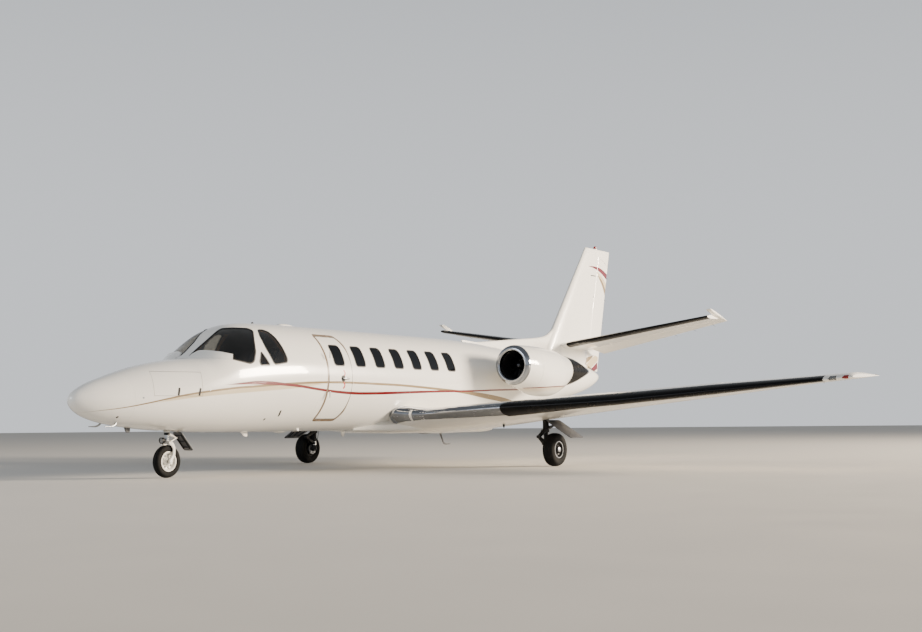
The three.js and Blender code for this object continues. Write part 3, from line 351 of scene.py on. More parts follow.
# %% Rubber, enamel and plastics
def coated(name, colour, worn, rough, grain, depth, **sockets):
    material, tree, shader = new_material(name, colour, **sockets)
    wear = noise(tree, 0.25, 5)
    two_tones(tree, shader, wear, colour, worn)
    vary_roughness(tree, shader, wear, *rough)
    raise_surface(tree, shader, noise(tree, grain, 3), depth, 0.6)
    return material


boot_rubber = coated("neoprene de-ice boot", "050506", "09090A", (0.2, 0.32), 0.05, 0.0006,
    Specular_IOR_Level=0.15)
tyre_rubber = coated("aircraft tyre rubber", "060606", "121211", (0.7, 0.88), 0.012, 0.0008,
    Specular_IOR_Level=0.2)
nozzle_enamel = coated("heat-darkened nozzle enamel", "060607", "0E0E10", (0.22, 0.34), 0.05, 0.0004,
    Specular_IOR_Level=0.12)
seal_rubber = coated("black window seal", "0C0C0D", "17171A", (0.45, 0.6), 0.006, 0.0003)
gear_enamel = coated("white gear enamel", "E3E2DD", "C9C6BD", (0.32, 0.48), 0.008, 0.0003)
# Grey gear enamel. On the ribs and link of the main gear doors, whose own paint is gloss white, this grey is
# painted shade.
grey_enamel_and_painted_shade = coated("grey gear enamel", "55575A", "3A3B3D", (0.4, 0.58), 0.008, 0.0003)
# Black satin enamel. On the main legs, the main wheels and the air fairings' end faces it is painted shade,
# not their own colour.
black_enamel_and_painted_shade = coated("black satin enamel", "0A0A0B", "151617", (0.38, 0.55), 0.006, 0.0003,
    Specular_IOR_Level=0.25)
# The main gear doors' dark grey is partly their own mid grey paint and partly painted shade.
door_grey_and_painted_shade = coated("mid grey door enamel", "45484E", "393B41", (0.35, 0.5), 0.02, 0.0003)
# The duct and its vanes are grey paint in fact; this near black is painted shade for the dark inside of the
# intake.
duct_shade_paint = coated("grey duct paint", "0C0C0E", "08080A", (0.5, 0.65), 0.01, 0.0004)
panel_plastic = coated("moulded panel plastic", "1D1B19", "292624", (0.55, 0.7), 0.003, 0.0004)
trim_plastic = coated("tan moulded trim", "B9946C", "9C7A56", (0.55, 0.72), 0.003, 0.0004)
line_paint = coated("taupe line paint", "7D6A55", "74614D", (0.22, 0.3), 0.06, 0.0003, Coat_Weight=0.5)
mark_paint = coated("red mark paint", "C01410", "B0120E", (0.25, 0.35), 0.06, 0.0003)
screen_glass = coated("dark display glass", "0D1116", "121820", (0.08, 0.14), 0.05, 0.0001)
print("14 coated finishes")

# %% [markdown]
# ## Leather, carpet and lining
# Seats are soft tan leather: a pebbled grain about 1 mm across, drawn here at 4 mm, darker in its
# creases. The carpet is short wool pile. Walls and ceiling are a pale suede-like panel cloth, which
# scatters light with a little sheen.

# %% Soft finishes
def soft_finish(name, colour, crease, size, depth, rough, sheen=0.0):
    material, tree, shader = new_material(name, colour, Sheen_Weight=sheen, Roughness=rough)
    feeds = {"Vector": place_of(tree), "Scale": 1 / size}
    grain = remap(tree, add(tree, "TexVoronoi", feeds, feature="DISTANCE_TO_EDGE").outputs[0], 0, 0.25)
    broad = sum_up(tree, "ADD", 0.6, sum_up(tree, "MULTIPLY", noise(tree, 0.12, 3), 0.4))
    two_tones(tree, shader, sum_up(tree, "MULTIPLY", grain, broad), crease, colour)
    raise_surface(tree, shader, grain, depth, 0.5)
    return material


seat_leather = soft_finish("tan seat leather", "B59B79", "8A7051", 0.004, 0.0006, 0.5)
carpet_pile = soft_finish("wool carpet pile", "7C6C59", "5A4D3E", 0.003, 0.0015, 0.95, 0.3)
wall_cloth = soft_finish("pale panel cloth", "CFC5B4", "B9AE9B", 0.002, 0.0003, 0.9, 0.2)
print("3 soft finishes")

# %% [markdown]
# ## Acrylic and lenses
# Aircraft windows are stretched acrylic, IOR 1.49. The cabin ones look nearly black from outside
# because they are tinted and the cabin behind is dim. Lamp lenses are coloured polycarbonate.

# %% Clear finishes
def clear(name, colour, index, thin=1.0, rough=0.02, shine=0.5):
    material, tree, shader = new_material(name, colour, Transmission_Weight=thin, Roughness=rough, IOR=index,
        Specular_IOR_Level=shine)
    smear = noise(tree, 0.3, 4)
    vary_roughness(tree, shader, smear, rough, rough + 0.03)
    raise_surface(tree, shader, smear, 0.0004, 0.3)
    return material


screen_acrylic = clear("clear stretched acrylic", "B9B4AA", 1.49, shine=0.2)
cabin_acrylic = clear("tinted cabin acrylic", "04060A", 1.49, 0.5, shine=0.2)
red_lens = clear("red lamp lens", "A8130F", 1.58, 0.5, 0.08)
green_lens = clear("green lamp lens", "0E7A3C", 1.58, 0.5, 0.08)
clear_lens = clear("clear lamp lens", "E8EBEC", 1.58, 0.8, 0.04)
print("5 clear finishes")

# %% [markdown]
# ## Making solids
# Almost every part is a run of cross-sections joined side by side, the way a boat is lofted. Holes
# and splits are cut with booleans between such solids. After the cuts, the paint's highlight still
# has to run smooth up to each edge, so a helper can give the points the normals of the uncut skin.

# %% Mesh helpers
ACROSS, AFT, UP = (1, 0, 0), (0, 1, 0), (0, 0, 1)
AXIS = 0.0005  # turned outlines stop this short of their axis


def raw_solid(name, points, faces):
    mesh = bpy.data.meshes.new(name)
    mesh.from_pydata([tuple(p) for p in points], [], faces)
    shape = bmesh.new()
    shape.from_mesh(mesh)
    bmesh.ops.remove_doubles(shape, verts=shape.verts, dist=1e-6)
    bmesh.ops.recalc_face_normals(shape, faces=shape.faces)
    shape.to_mesh(mesh)
    shape.free()
    return in_scene(name, mesh)


def loft(name, rings):
    count = len(rings[0])
    points = [point for ring in rings for point in ring]
    faces = []
    for i in range(len(rings) - 1):
        for j in range(count):
            a, b = i * count + j, i * count + (j + 1) % count
            faces.append((a, b, b + count, a + count))
    faces.append(tuple(reversed(range(count))))
    faces.append(tuple(range((len(rings) - 1) * count, len(rings) * count)))
    return raw_solid(name, points, faces)


def box(name, x0, x1, y0, y1, z0, z1):
    return loft(name, [[(x0, y, z0), (x1, y, z0), (x1, y, z1), (x0, y, z1)] for y in (y0, y1)])


def discard(solid):
    mesh = solid.data
    bpy.data.objects.remove(solid)
    bpy.data.meshes.remove(mesh)


def kept_result(solid):
    """Replaces the mesh by what its modifiers make of it now."""
    graph = bpy.context.evaluated_depsgraph_get()
    result = bpy.data.meshes.new_from_object(solid.evaluated_get(graph))
    solid.modifiers.clear()
    old, solid.data = solid.data, result
    bpy.data.meshes.remove(old)
    return solid


def carve(target, tool, operation="DIFFERENCE", keep_tool=False):
    step = target.modifiers.new(operation.lower(), "BOOLEAN")
    step.operation, step.solver, step.object = operation, "MANIFOLD", tool
    kept_result(target)
    if not keep_tool:
        discard(tool)
    return target


def twin(solid, name):
    copy = solid.copy()
    copy.data = solid.data.copy()
    copy.name = copy.data.name = name
    bpy.context.scene.collection.objects.link(copy)
    return copy


def flipped(solid):
    solid.data.transform(Matrix.Scale(-1, 4, ACROSS))
    solid.data.flip_normals()
    return solid


def mirrored(solid, name):
    return flipped(twin(solid, name))


def triangles(mesh):
    return sum(len(face.vertices) - 2 for face in mesh.polygons)


def finish_piece(piece, material, nodes=(), body="airframe", slot=None, sharp=35):
    """Gives a piece its paint and body. The slot argument is not used."""
    if not piece.data.materials:
        piece.data.materials.append(material)
    else:
        piece.data.materials[0] = material
    if sharp is not None:
        piece.data.shade_smooth()
        piece.data.set_sharp_from_angle(angle=radians(sharp))
    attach(piece, body)
    if nodes:
        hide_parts(*nodes)
    print(piece.name, triangles(piece.data), "triangles")
    return piece


def circle(count, shift=0):
    """Angles evenly round a circle."""
    return [2 * pi * (k + shift) / count for k in range(count)]


def both_sides(piece, material, nodes=(), body="airframe", sharp=40):
    """Finishes a left piece and its mirror image; SIDE in a node's or body's name stands for either side."""
    for side, half in (("left", piece), ("right", mirrored(piece, piece.name.replace("left", "right")))):
        finish_piece(half, material, [node.replace("SIDE", side) for node in nodes],
            body.replace("SIDE", side), sharp=sharp)


def rod(name, start, end, radius, end_radius=None, sides=32):
    start, end = Vector(start), Vector(end)
    along = (end - start).normalized()
    side = along.orthogonal().normalized()
    up = along.cross(side)
    rings = []
    for centre, size in ((start, radius), (end, radius if end_radius is None else end_radius)):
        rings.append([centre + (side * cos(t) + up * sin(t)) * size for t in circle(sides)])
    return loft(name, rings)


def turned(name, profile, centre, axis, sides=64):
    """Turns a closed outline of (radius, offset) pairs about an axis through a centre."""
    axis = Vector(axis).normalized()
    side = axis.orthogonal().normalized()
    up = axis.cross(side)
    points, faces = [], []
    for t in circle(sides):
        outward = side * cos(t) + up * sin(t)
        points += [Vector(centre) + outward * radius + axis * offset for radius, offset in profile]
    count = len(profile)
    for k in range(sides):
        for j in range(count):
            a, b = k * count + j, k * count + (j + 1) % count
            c, d = (a + count) % (sides * count), (b + count) % (sides * count)
            faces.append((a, b, d, c))
    return raw_solid(name, points, faces)


def joined(name, *solids):
    """Several closed bodies in one piece, without a boolean."""
    shape = bmesh.new()
    for solid in solids:
        shape.from_mesh(solid.data)
    mesh = bpy.data.meshes.new(name)
    shape.to_mesh(mesh)
    shape.free()
    for solid in solids:
        discard(solid)
    return in_scene(name, mesh)


def soften(piece, width, segments=2, angle=30):
    """Rounds the sharp edges, as a casting's or pressing's are, and keeps the result."""
    step = piece.modifiers.new("soften", "BEVEL")
    step.width, step.segments = width, segments
    step.limit_method, step.angle_limit = "ANGLE", radians(angle)
    return kept_result(piece)


def bar(name, start, end, side, wide, deep, round_off=0.0):
    """A flat bar between two points: wide along side, deep across it."""
    start, end = Vector(start), Vector(end)
    along = (end - start).normalized()
    across = Vector(side).cross(along).normalized()
    level = across.cross(along)
    ring = [(level * u * wide / 2 + across * v * deep / 2) for u, v in ((-1, -1), (1, -1), (1, 1), (-1, 1))]
    solid = loft(name, [[start + p for p in ring], [end + p for p in ring]])
    return soften(solid, round_off) if round_off else solid


print("helpers ready")

# %% [markdown]
# ## The fuselage's sections
# A pressurised fuselage is a round tube that fairs into an oval nose and a narrow tail. A table
# gives the crown, keel, widest height, half width and the roundness of the crown at each station.
# A cubic that never overshoots runs through the rows, so that no highlight kinks at a row.

# %% Section table
HULL = [  # station, top, bottom, widest height, half width, power of the crown
    (-7.45, 1.066, 1.042, 1.054, 0.012, 2), (-7.435, 1.108, 0.998, 1.054, 0.052, 2),
    (-7.39, 1.16, 0.943, 1.054, 0.104, 2), (-7.3, 1.218, 0.882, 1.052, 0.17, 2),
    (-7.16, 1.284, 0.822, 1.05, 0.248, 2), (-6.94, 1.36, 0.764, 1.05, 0.34, 2),
    (-6.7, 1.436, 0.722, 1.052, 0.418, 2), (-6.4, 1.52, 0.686, 1.065, 0.503, 2.05),
    (-6.1, 1.582, 0.66, 1.09, 0.575, 2.15), (-5.8, 1.63, 0.642, 1.128, 0.636, 2.3),
    (-5.53, 1.665, 0.632, 1.178, 0.684, 2.7), (-5.2, 1.875, 0.623, 1.24, 0.728, 2.7),
    (-4.9, 2.105, 0.618, 1.3, 0.761, 2.3), (-4.65, 2.192, 0.617, 1.345, 0.781, 2.15),
    (-4.3, 2.23, 0.615, 1.39, 0.8, 2.05), (-3.7, 2.244, 0.615, 1.427, 0.814, 2),
    (-3.4, 2.245, 0.615, 1.43, 0.815, 2), (0.6, 2.243, 0.615, 1.43, 0.815, 2),
    (1.25, 2.23, 0.628, 1.432, 0.806, 2), (1.9, 2.203, 0.68, 1.442, 0.775, 2),
    (2.8, 2.15, 0.81, 1.48, 0.698, 2), (3.8, 2.082, 0.985, 1.533, 0.585, 2),
    (4.8, 2.015, 1.175, 1.592, 0.452, 2), (5.6, 1.955, 1.29, 1.64, 0.335, 2),
    (6.2, 1.895, 1.42, 1.675, 0.235, 2), (6.58, 1.8, 1.565, 1.695, 0.15, 2),
    (6.72, 1.73, 1.655, 1.695, 0.06, 2),
]
RADOME_END, COCKPIT, CABIN, TAIL_JOIN, TAIL_END = -6.7, -5.5, -3.4, 1.25, 6.72
GAP = 0.0003  # between neighbouring shells, so that they never share a face


def smooth_through(rows):
    """A function through the rows' values that never overshoots them."""
    stations = np.array([row[0] for row in rows], float)
    values = np.array([row[1:] for row in rows], float)
    steps = np.diff(stations)[:, None]
    slopes = np.diff(values, axis=0) / steps
    both, total = slopes[:-1] * slopes[1:], slopes[:-1] + slopes[1:]
    means = np.where(both > 0, 2 * both / np.where(total == 0, 1, total), 0)
    tangents = np.vstack([slopes[:1], means, slopes[-1:]])

    def at(station):
        i = int(np.clip(np.searchsorted(stations, station) - 1, 0, len(steps) - 1))
        h = steps[i, 0]
        t = min(max((station - stations[i]) / h, 0), 1)
        return (
            (2 * t ** 3 - 3 * t ** 2 + 1) * values[i] + (t ** 3 - 2 * t ** 2 + t) * h * tangents[i]
            + (3 * t ** 2 - 2 * t ** 3) * values[i + 1] + (t ** 3 - t ** 2) * h * tangents[i + 1]
        )

    return at


hull_section = smooth_through(HULL)


def signed_power(value, power):
    return np.sign(value) * np.abs(value) ** power


def hull_ring(y, inset=0.0, sides=96):
    top, bottom, widest, half, power = hull_section(y)
    turn = 2 * np.pi * (np.arange(sides) + 0.5) / sides
    upper = np.sin(turn) > 0
    rise = np.where(upper, top - widest, widest - bottom)
    shape = np.where(upper, 2 / power, 1)
    x = (half - inset) * signed_power(np.cos(turn), shape)
    z = widest + (rise - inset) * signed_power(np.sin(turn), shape)
    return [(a, y, b) for a, b in zip(x, z)]


def hull_solid(name, start, end, inset=0.0, sides=96):
    count = max(2, ceil((end - start) / 0.07))
    places = list(np.linspace(start, end, count + 1))
    if start < NOSE + 0.01:
        tip = [0, 0.002, 0.005, 0.01, 0.017, 0.027, 0.04, 0.056, 0.075, 0.1, 0.13, 0.165, 0.21, 0.26]
        places = [NOSE + step for step in tip] + [y for y in places if y > NOSE + 0.3]
    return loft(name, [hull_ring(y, inset, sides) for y in places])


def hull_layer(name, start, end, outer, inner, sides=96):
    """The layer of skin between two depths, open at both ends."""
    skin = hull_solid(name, start, end, outer, sides)
    return carve(skin, hull_solid("inside", start - 0.01, end + 0.01, inner, sides))


print("section at the cabin", [round(float(v), 3) for v in hull_section(-1.0)])

# %% [markdown]
# ## A highlight without facets
# A boolean leaves long thin faces beside each cut, and plain smooth shading shows them on gloss
# paint. The section formula also gives the exact slope of the skin at any point, so every corner
# that lies on the skin takes that slope as its normal. Other faces keep their own.

# %% Exact normals
SAMPLES = np.arange(NOSE - 0.02, TAIL_END + 0.02, 0.005)
SAMPLED = np.array([hull_section(y) for y in SAMPLES])


def hull_level(points):
    """Below 0 inside the skin, 0 on it, above 0 outside."""
    x, y, z = points.T
    top, bottom, widest, half, power = (np.interp(y, SAMPLES, column) for column in SAMPLED.T)
    rise = np.where(z > widest, top - widest, widest - bottom)
    power = np.where(z > widest, power, 2)
    return (np.abs(x) / half) ** power + (np.abs(z - widest) / rise) ** power - 1


def hull_normals(points):
    steps = np.eye(3) * 0.001
    slope = np.stack([hull_level(points + s) - hull_level(points - s) for s in steps], axis=1) / 0.002
    length = np.maximum(np.linalg.norm(slope, axis=1, keepdims=True), 1e-9)
    return slope / length, hull_level(points) / length[:, 0]


def read(items, field, width=3, kind=float):
    values = np.zeros(len(items) * width, kind)
    items.foreach_get(field, values)
    return values.reshape(-1, width)


def finish_skin(piece, outer, inner, nodes=(), body="airframe", edge=None, slot=None, skin_depth=0.003):
    """Finishes a piece of the skin with its exact normals; the inside and the edges have their own finish."""
    mesh = piece.data
    mesh.materials.clear()
    for material in (outer, inner, edge or inner):
        mesh.materials.append(material)
    mesh.shade_smooth()
    faces = read(mesh.polygons, "normal")
    facing, depth = hull_normals(read(mesh.polygons, "center"))
    along = (facing * faces).sum(axis=1)
    kind = np.where((along > 0.8) & (np.abs(depth) < skin_depth + 0.002), 0, np.where(along < -0.8, 1, 2))
    mesh.polygons.foreach_set("material_index", kind.astype(np.int32))
    exact = hull_normals(read(mesh.vertices, "co"))[0][read(mesh.loops, "vertex_index", 1, np.int32)[:, 0]]
    own = np.repeat(faces, [len(face.vertices) for face in mesh.polygons], axis=0)
    agree = (exact * own).sum(axis=1)[:, None]
    normals = np.where(agree > 0.85, exact, np.where(agree < -0.85, -exact, own))
    mesh.normals_split_custom_set([tuple(n) for n in normals])
    return finish_piece(piece, outer, nodes, body, slot, sharp=None)


print("slope under the nose", [round(float(v), 2) for v in hull_normals(np.array([[0, -7.0, 0.78]]))[0][0]])

# %% [markdown]
# ## Nose: radome, bay and doors
# The radome is a thin cone that radar passes through, joined to the nose by a ring of screws. Behind
# it is the baggage bay, with a door on each side hinged along its top edge. The nose is one loft,
# with the bay, the gear well and the two doorways cut out of it.

# %% Nose shells
BAY = {"front": -6.4, "back": -5.66, "floor": 1.115, "top": 1.45, "ceiling": 1.56, "wall": 0.043}
NOSE_WALL = 0.035
MOVING_GAP = 0.008  # round whatever moves


def skin_x(y, z):
    top, _, widest, half, power = hull_section(y)
    return half * (1 - ((z - widest) / (top - widest)) ** power) ** (1 / power)


def hinge_box(name, start, end, out, ranges):
    """A box in a hinge line's own directions: along it, outwards from it, and square to both."""
    start, end = Vector(start), Vector(end)
    along = (end - start).normalized()
    outward = (Vector(out) - along * Vector(out).dot(along)).normalized()
    square = along.cross(outward)
    a0, a1, b0, b1, c0, c1 = ranges
    ring = [(b0, c0), (b1, c0), (b1, c1), (b0, c1)]
    return loft(name, [[start + along * a + outward * b + square * c for b, c in ring] for a in (a0, a1)])


radome = hull_solid("radome_shell", NOSE, RADOME_END - 0.001)
finish_skin(radome, fuselage_paint, plain_white, ["radome"])

HINGE_OUT = 0.014  # how far outside the skin the doors' hinge line lies
hinge_front = (skin_x(-6.37, BAY["top"]) + HINGE_OUT, -6.37, BAY["top"])
hinge_back = (skin_x(-5.69, BAY["top"]) + HINGE_OUT, -5.69, BAY["top"])
hinge_length = (Vector(hinge_back) - Vector(hinge_front)).length
drop = BAY["top"] - BAY["floor"]
nose = hull_solid("nose_shell", RADOME_END, COCKPIT - GAP)
bay = hull_solid("bay", BAY["front"], BAY["back"], BAY["wall"])
carve(bay, box("bay_block", -0.7, 0.7, -6.4, -5.66, BAY["floor"], BAY["ceiling"]), "INTERSECT")
carve(nose, bay)
carve(nose, box("well", -0.15, 0.15, -5.957, -5.56, 0.5, 1.02))
carve(nose, box("arm_notch", -0.022, 0.022, -5.561, -5.515, 0.5, 0.72))
doorway = hinge_box("doorway", hinge_front, hinge_back, ACROSS, [0, hinge_length, -0.16, 0.4, 0, drop])
carve(nose, mirrored(doorway, "doorway_right"))
carve(nose, doorway)
finish_skin(nose, fuselage_paint, gear_enamel, ["nose_section"])

hatch = hull_layer("baggage_hatch_left", BAY["front"] - 0.1, BAY["back"] + 0.1, 0.0, NOSE_WALL)
SEAM = 0.004
reach = [SEAM, hinge_length - SEAM, -0.15, 0.39, SEAM, drop - SEAM]
carve(hatch, hinge_box("hatch_edge", hinge_front, hinge_back, ACROSS, reach), "INTERSECT")
carve(hatch, box("port_half", 0, 0.8, -6.7, -5.5, 0, 2.5), "INTERSECT")
hatch_right = mirrored(hatch, "baggage_hatch_right")
for side, piece in (("left", hatch), ("right", hatch_right)):
    finish_skin(piece, fuselage_paint, gear_enamel, [f"baggage_door_{side}"], f"baggage_door_{side}_body")

# %% [markdown]
# ## Windows and doors in the cabin
# Each window hole is an outline pushed through the skin in a level direction. The clear pane sits
# flush in the hole, held by a black rubber seal, so both are cut from thin layers of the same skin
# with the same outline drawn in or out. Corners are rounded, because a square corner would crack.

# %% Outlines and slots
SCREEN_VIEW, SIDE_VIEW = radians(40), radians(90)
WINDSCREEN = [
    (-3.436, 1.69), (-3.345, 1.795), (-3.06, 2.085), (-3.005, 2.12), (-2.87, 2.128), (-2.64, 2.128),
    (-2.56, 2.09), (-2.545, 2.01), (-2.5, 1.765), (-2.512, 1.62), (-2.562, 1.578), (-2.85, 1.65),
    (-3.05, 1.668), (-3.25, 1.68),
]
AFT_WINDOW = [
    (-4.395, 2.112), (-4.27, 2.12), (-4.2, 2.085), (-4.172, 2.0), (-4.15, 1.877), (-4.115, 1.68),
    (-4.14, 1.622), (-4.39, 1.582), (-4.43, 1.61), (-4.505, 1.832), (-4.49, 2.0),
]
STORM_WINDOW = [
    (-4.605, 1.765), (-4.625, 1.76), (-4.7, 1.617), (-4.685, 1.565), (-4.51, 1.572), (-4.5, 1.595),
]


def inset(outline, trim):
    """The outline drawn in by trim all round, or out where trim is below zero."""
    points = [Vector(p) for p in outline]
    area = sum(a.x * b.y - b.x * a.y for a, b in zip(points, points[1:] + points[:1]))
    turn = copysign(1, area)
    moved = []
    for i, point in enumerate(points):
        edges = [(point - points[i - 1]).normalized(), (points[(i + 1) % len(points)] - point).normalized()]
        inward = [Vector((-e.y * turn, e.x * turn)) for e in edges]
        moved.append(point + (inward[0] + inward[1]) * (trim / max(0.3, 1 + inward[0].dot(inward[1]))))
    return moved


def round_corners(outline, radius, steps=4):
    points = [Vector(p) for p in outline]
    rounded = []
    for i, point in enumerate(points):
        before, after = points[i - 1] - point, points[(i + 1) % len(points)] - point
        reach = min(radius, before.length * 0.45, after.length * 0.45)
        start, end = point + before.normalized() * reach, point + after.normalized() * reach
        for k in range(steps + 1):
            t = k / steps
            rounded.append(start * (1 - t) ** 2 + point * 2 * t * (1 - t) + end * t ** 2)
    return rounded


def slot_through(name, outline, view, near, far):
    out = Vector((sin(view), -cos(view), 0))
    along = Vector((cos(view), sin(view), 0))
    rings = [[out * depth + along * p[0] + Vector((0, 0, p[1])) for p in outline] for depth in (near, far)]
    return loft(name, rings)


def rectangle(y, z, width, height):
    return [(y + sy * width / 2, z + sz * height / 2) for sy, sz in ((-1, -1), (1, -1), (1, 1), (-1, 1))]


CABIN_STATIONS = [-2.43, -1.93, -1.43, -0.93, -0.43, 0.07]
DOOR_STATION = -2.955


def cabin_window(y):
    """A window of 0.258 m by 0.33 m with round corners, and how to cut it; all share one height."""
    return round_corners(rectangle(y, 1.775, 0.258, 0.33), 0.065, 6), SIDE_VIEW, 0.3, 1.0


print("windscreen outline has", len(round_corners(WINDSCREEN, 0.03)), "corners after rounding")

# %% Cockpit shell
WALL = 0.07
screens = {"windscreen": (round_corners(WINDSCREEN, 0.035), SCREEN_VIEW, 3.4, 4.7),
    "aft": (round_corners(AFT_WINDOW, 0.05), SIDE_VIEW, 0.2, 1.0),
    "storm": (round_corners(STORM_WINDOW, 0.02), SIDE_VIEW, 0.2, 1.0)}
cockpit = hull_solid("cockpit_skin", COCKPIT, CABIN - GAP)
carve(cockpit, hull_solid("cockpit_inside", COCKPIT - 0.01, CABIN + 0.01, WALL))
for outline, *view in screens.values():
    hole = slot_through("hole", outline, *view)
    carve(cockpit, mirrored(hole, "hole_right"))
    carve(cockpit, hole)
finish_skin(cockpit, fuselage_paint, panel_plastic, ["cockpit_shell"], edge=trim_plastic)

# %% Windscreens and cockpit side windows
PANE, SEAL = (0.003, 0.014, [0.014]), (-0.0012, 0.016, [-0.004, 0.0135])  # two depths, then what trims it


def set_windows(name, ends, outlines, material, node, body="airframe"):
    """Each side's panes, flush in the skin, and their rubber seals, cut from layers of the skin."""
    for side, openings in outlines.items():
        groups = []
        for outer, inner, (edge, *holes) in (PANE, SEAL):
            parts = []
            for outline, *view in openings:
                part = hull_layer("part", *ends, outer, inner)
                carve(part, slot_through("edge", inset(outline, edge), *view), "INTERSECT")
                for hole in holes:
                    carve(part, slot_through("hole", inset(outline, hole), *view))
                parts.append(part)
            groups.append(parts)
        pane, seal = joined(f"{name}_{side}", *groups[0]), joined(f"{name}_seals_{side}", *groups[1])
        if side == "right":
            flipped(pane), flipped(seal)
        finish_skin(pane, material, material, [node.format(side)], body, skin_depth=0.004)
        finish_skin(seal, seal_rubber, seal_rubber, body=body, slot="dark_window")


for name, node, which in (("windscreen_pane", "windscreen_{}", ["windscreen"]),
        ("cockpit_side_pane", "cockpit_side_window_{}", ["aft", "storm"])):
    outlines = {side: [screens[screen] for screen in which] for side in ("left", "right")}
    set_windows(name, (COCKPIT, CABIN), outlines, screen_acrylic, node)

# %% [markdown]
# ## Cabin shell and door
# The cabin is a tube with six windows and a door on the port side, and seven windows on the other.
# The door is a panel of the same tube, hinged at its front edge, so its rear edge is part of a
# circle about the hinge. A painted line in taupe runs round the doorway.

# %% Cabin shell and door
DOOR = {"hinge_x": 0.834, "front": -3.235, "swing": 0.562, "bottom": 0.8, "top": 2.07}


def door_space(name, trim, front=0.006):
    """What the door fills, drawn in by trim: a round rear edge, a straight front one, round corners."""
    x, y, reach = DOOR["hinge_x"], DOOR["front"], DOOR["swing"]
    swing = rod(name, (x, y, DOOR["bottom"] - 0.2), (x, y, DOOR["top"] + 0.2), reach - trim, sides=128)
    low, high = DOOR["bottom"] + trim, DOOR["top"] - trim
    shape = [(y + trim, low), (y + reach, low), (y + reach, high), (y + trim, high)]
    cushion = [(front, front), (0.156, 0.12), (0.156, 0.12), (front, front)]
    outline = []
    for i, (point, (along, up)) in enumerate(zip(shape, cushion)):
        dy, dz = along if i in (0, 3) else -along, up if i in (0, 1) else -up
        start, end = Vector((point[0], point[1] + dz)), Vector((point[0] + dy, point[1]))
        middle = Vector(point)
        if i in (1, 3):
            start, end = end, start
        for k in range(7):
            t = k / 6
            outline.append(start * (1 - t) ** 2 + middle * 2 * t * (1 - t) + end * t ** 2)
    return carve(swing, slot_through("door_edge", outline, SIDE_VIEW, 0.1, 1.0), "INTERSECT")


tube = hull_layer("tube", CABIN, TAIL_JOIN - GAP, 0.0, WALL)
window_slots = [slot_through("window", *cabin_window(y)) for y in CABIN_STATIONS]
door_window = slot_through("door_window", *cabin_window(DOOR_STATION))
cabin = twin(tube, "cabin_skin")
door = carve(twin(tube, "cabin_door_panel"), door_space("door_body", MOVING_GAP), "INTERSECT")
discard(tube)
carve(cabin, door_space("door_hole", 0))
carve(cabin, mirrored(door_window, "window_right"))
for window in window_slots:
    carve(cabin, mirrored(window, "window_right"))
    carve(cabin, window)
carve(door, door_window)
finish_skin(cabin, fuselage_paint, wall_cloth, ["cabin_shell"], edge=seal_rubber)
finish_skin(door, fuselage_paint, wall_cloth, ["cabin_door"], "cabin_door_body", plain_white)

line = hull_layer("door_line", CABIN, -2.5, -0.0006, 0.002)
carve(line, door_space("line_edge", -0.034, 0.06), "INTERSECT")
carve(line, door_space("line_hole", -0.001))
finish_skin(line, line_paint, line_paint)

# %% Cabin windows
door_row, port_row = [cabin_window(DOOR_STATION)], [cabin_window(y) for y in CABIN_STATIONS]
set_windows("door_window_pane", (CABIN, TAIL_JOIN), {"left": door_row}, cabin_acrylic,
            "cabin_door_window", "cabin_door_body")
rows = {"left": port_row, "right": door_row + port_row}
set_windows("cabin_panes", (CABIN, TAIL_JOIN), rows, cabin_acrylic, "cabin_windows_{}")

# %% [markdown]
# ## Tail cone
# Behind the cabin bulkhead the fuselage is an unpressurised cone that carries the engines on two
# stub pylons and the tail on top. It is the same loft carried on to a blunt tip.

# %% Tail cone
tail = hull_solid("tail_cone_skin", TAIL_JOIN, TAIL_END)
finish_skin(tail, fuselage_paint, plain_white, ["tail_cone"])

# %% [markdown]
# ## Wings
# The wing is lofted from airfoil sections: each has a rounded nose, a slight camber and a sharp
# tail, is set nose-up at the root and nose-down at the tip, and rises outwards. At the fuselage its
# nose swells forward into a flared root. Flaps and ailerons turn about a line inside the wing, and
# have a round nose about that line, so the wing is cut along the same circle, a little larger.

# %% Wing sections
WING = {"lead": -1.14, "lead_tip": -0.57, "chord": 2.77, "chord_tip": 1.23, "tip": 7.95, "height": 0.702,
        "rise": tan(radians(4.4)), "set": 3.1, "set_tip": -2.2, "camber": 0.018,
        "depths": [(0.5, 0.14), (1.4, 0.152), (4.4, 0.129), (5.9, 0.119), (7.44, 0.079), (7.95, 0.073)]}
STAB = {"lead": 5.012, "lead_tip": 5.45, "chord": 1.69, "chord_tip": 0.77, "tip": 3.285, "height": 2.292,
    "rise": tan(radians(8.6)), "set": 0, "set_tip": 0, "camber": 0.0, "depths": [(0, 0.09), (3.27, 0.09)]}
FLARE = smooth_through([  # station, reach forward, lift, swell
    (0.5, 0.3, 0.14, 0.7), (0.68, 0.385, 0.14, 0.7), (0.79, 0.29, 0.115, 0.55),
    (0.9, 0.15, 0.1, 0.3), (1.06, 0.045, 0.092, 0.1), (1.4, 0.0, 0.088, 0.0), (2.4, 0.0, 0.07, 0.0),
    (3.4, 0.0, 0.03, 0.0), (4.4, 0.0, 0.0, 0.0),
])


def between(low, high, share):
    return low + (high - low) * share


def plan(surface, x):
    """Leading edge, chord, height, setting and depth of a surface at a station across."""
    share = abs(x) / surface["tip"]
    xs, depths = zip(*surface["depths"])
    pairs = [(surface[key], surface[key + "_tip"]) for key in ("lead", "chord", "set")]
    lead, chord, setting = [between(*pair, share) for pair in pairs]
    height = surface["height"] + surface["rise"] * abs(x)
    return lead, chord, height, radians(setting), float(np.interp(abs(x), xs, depths))


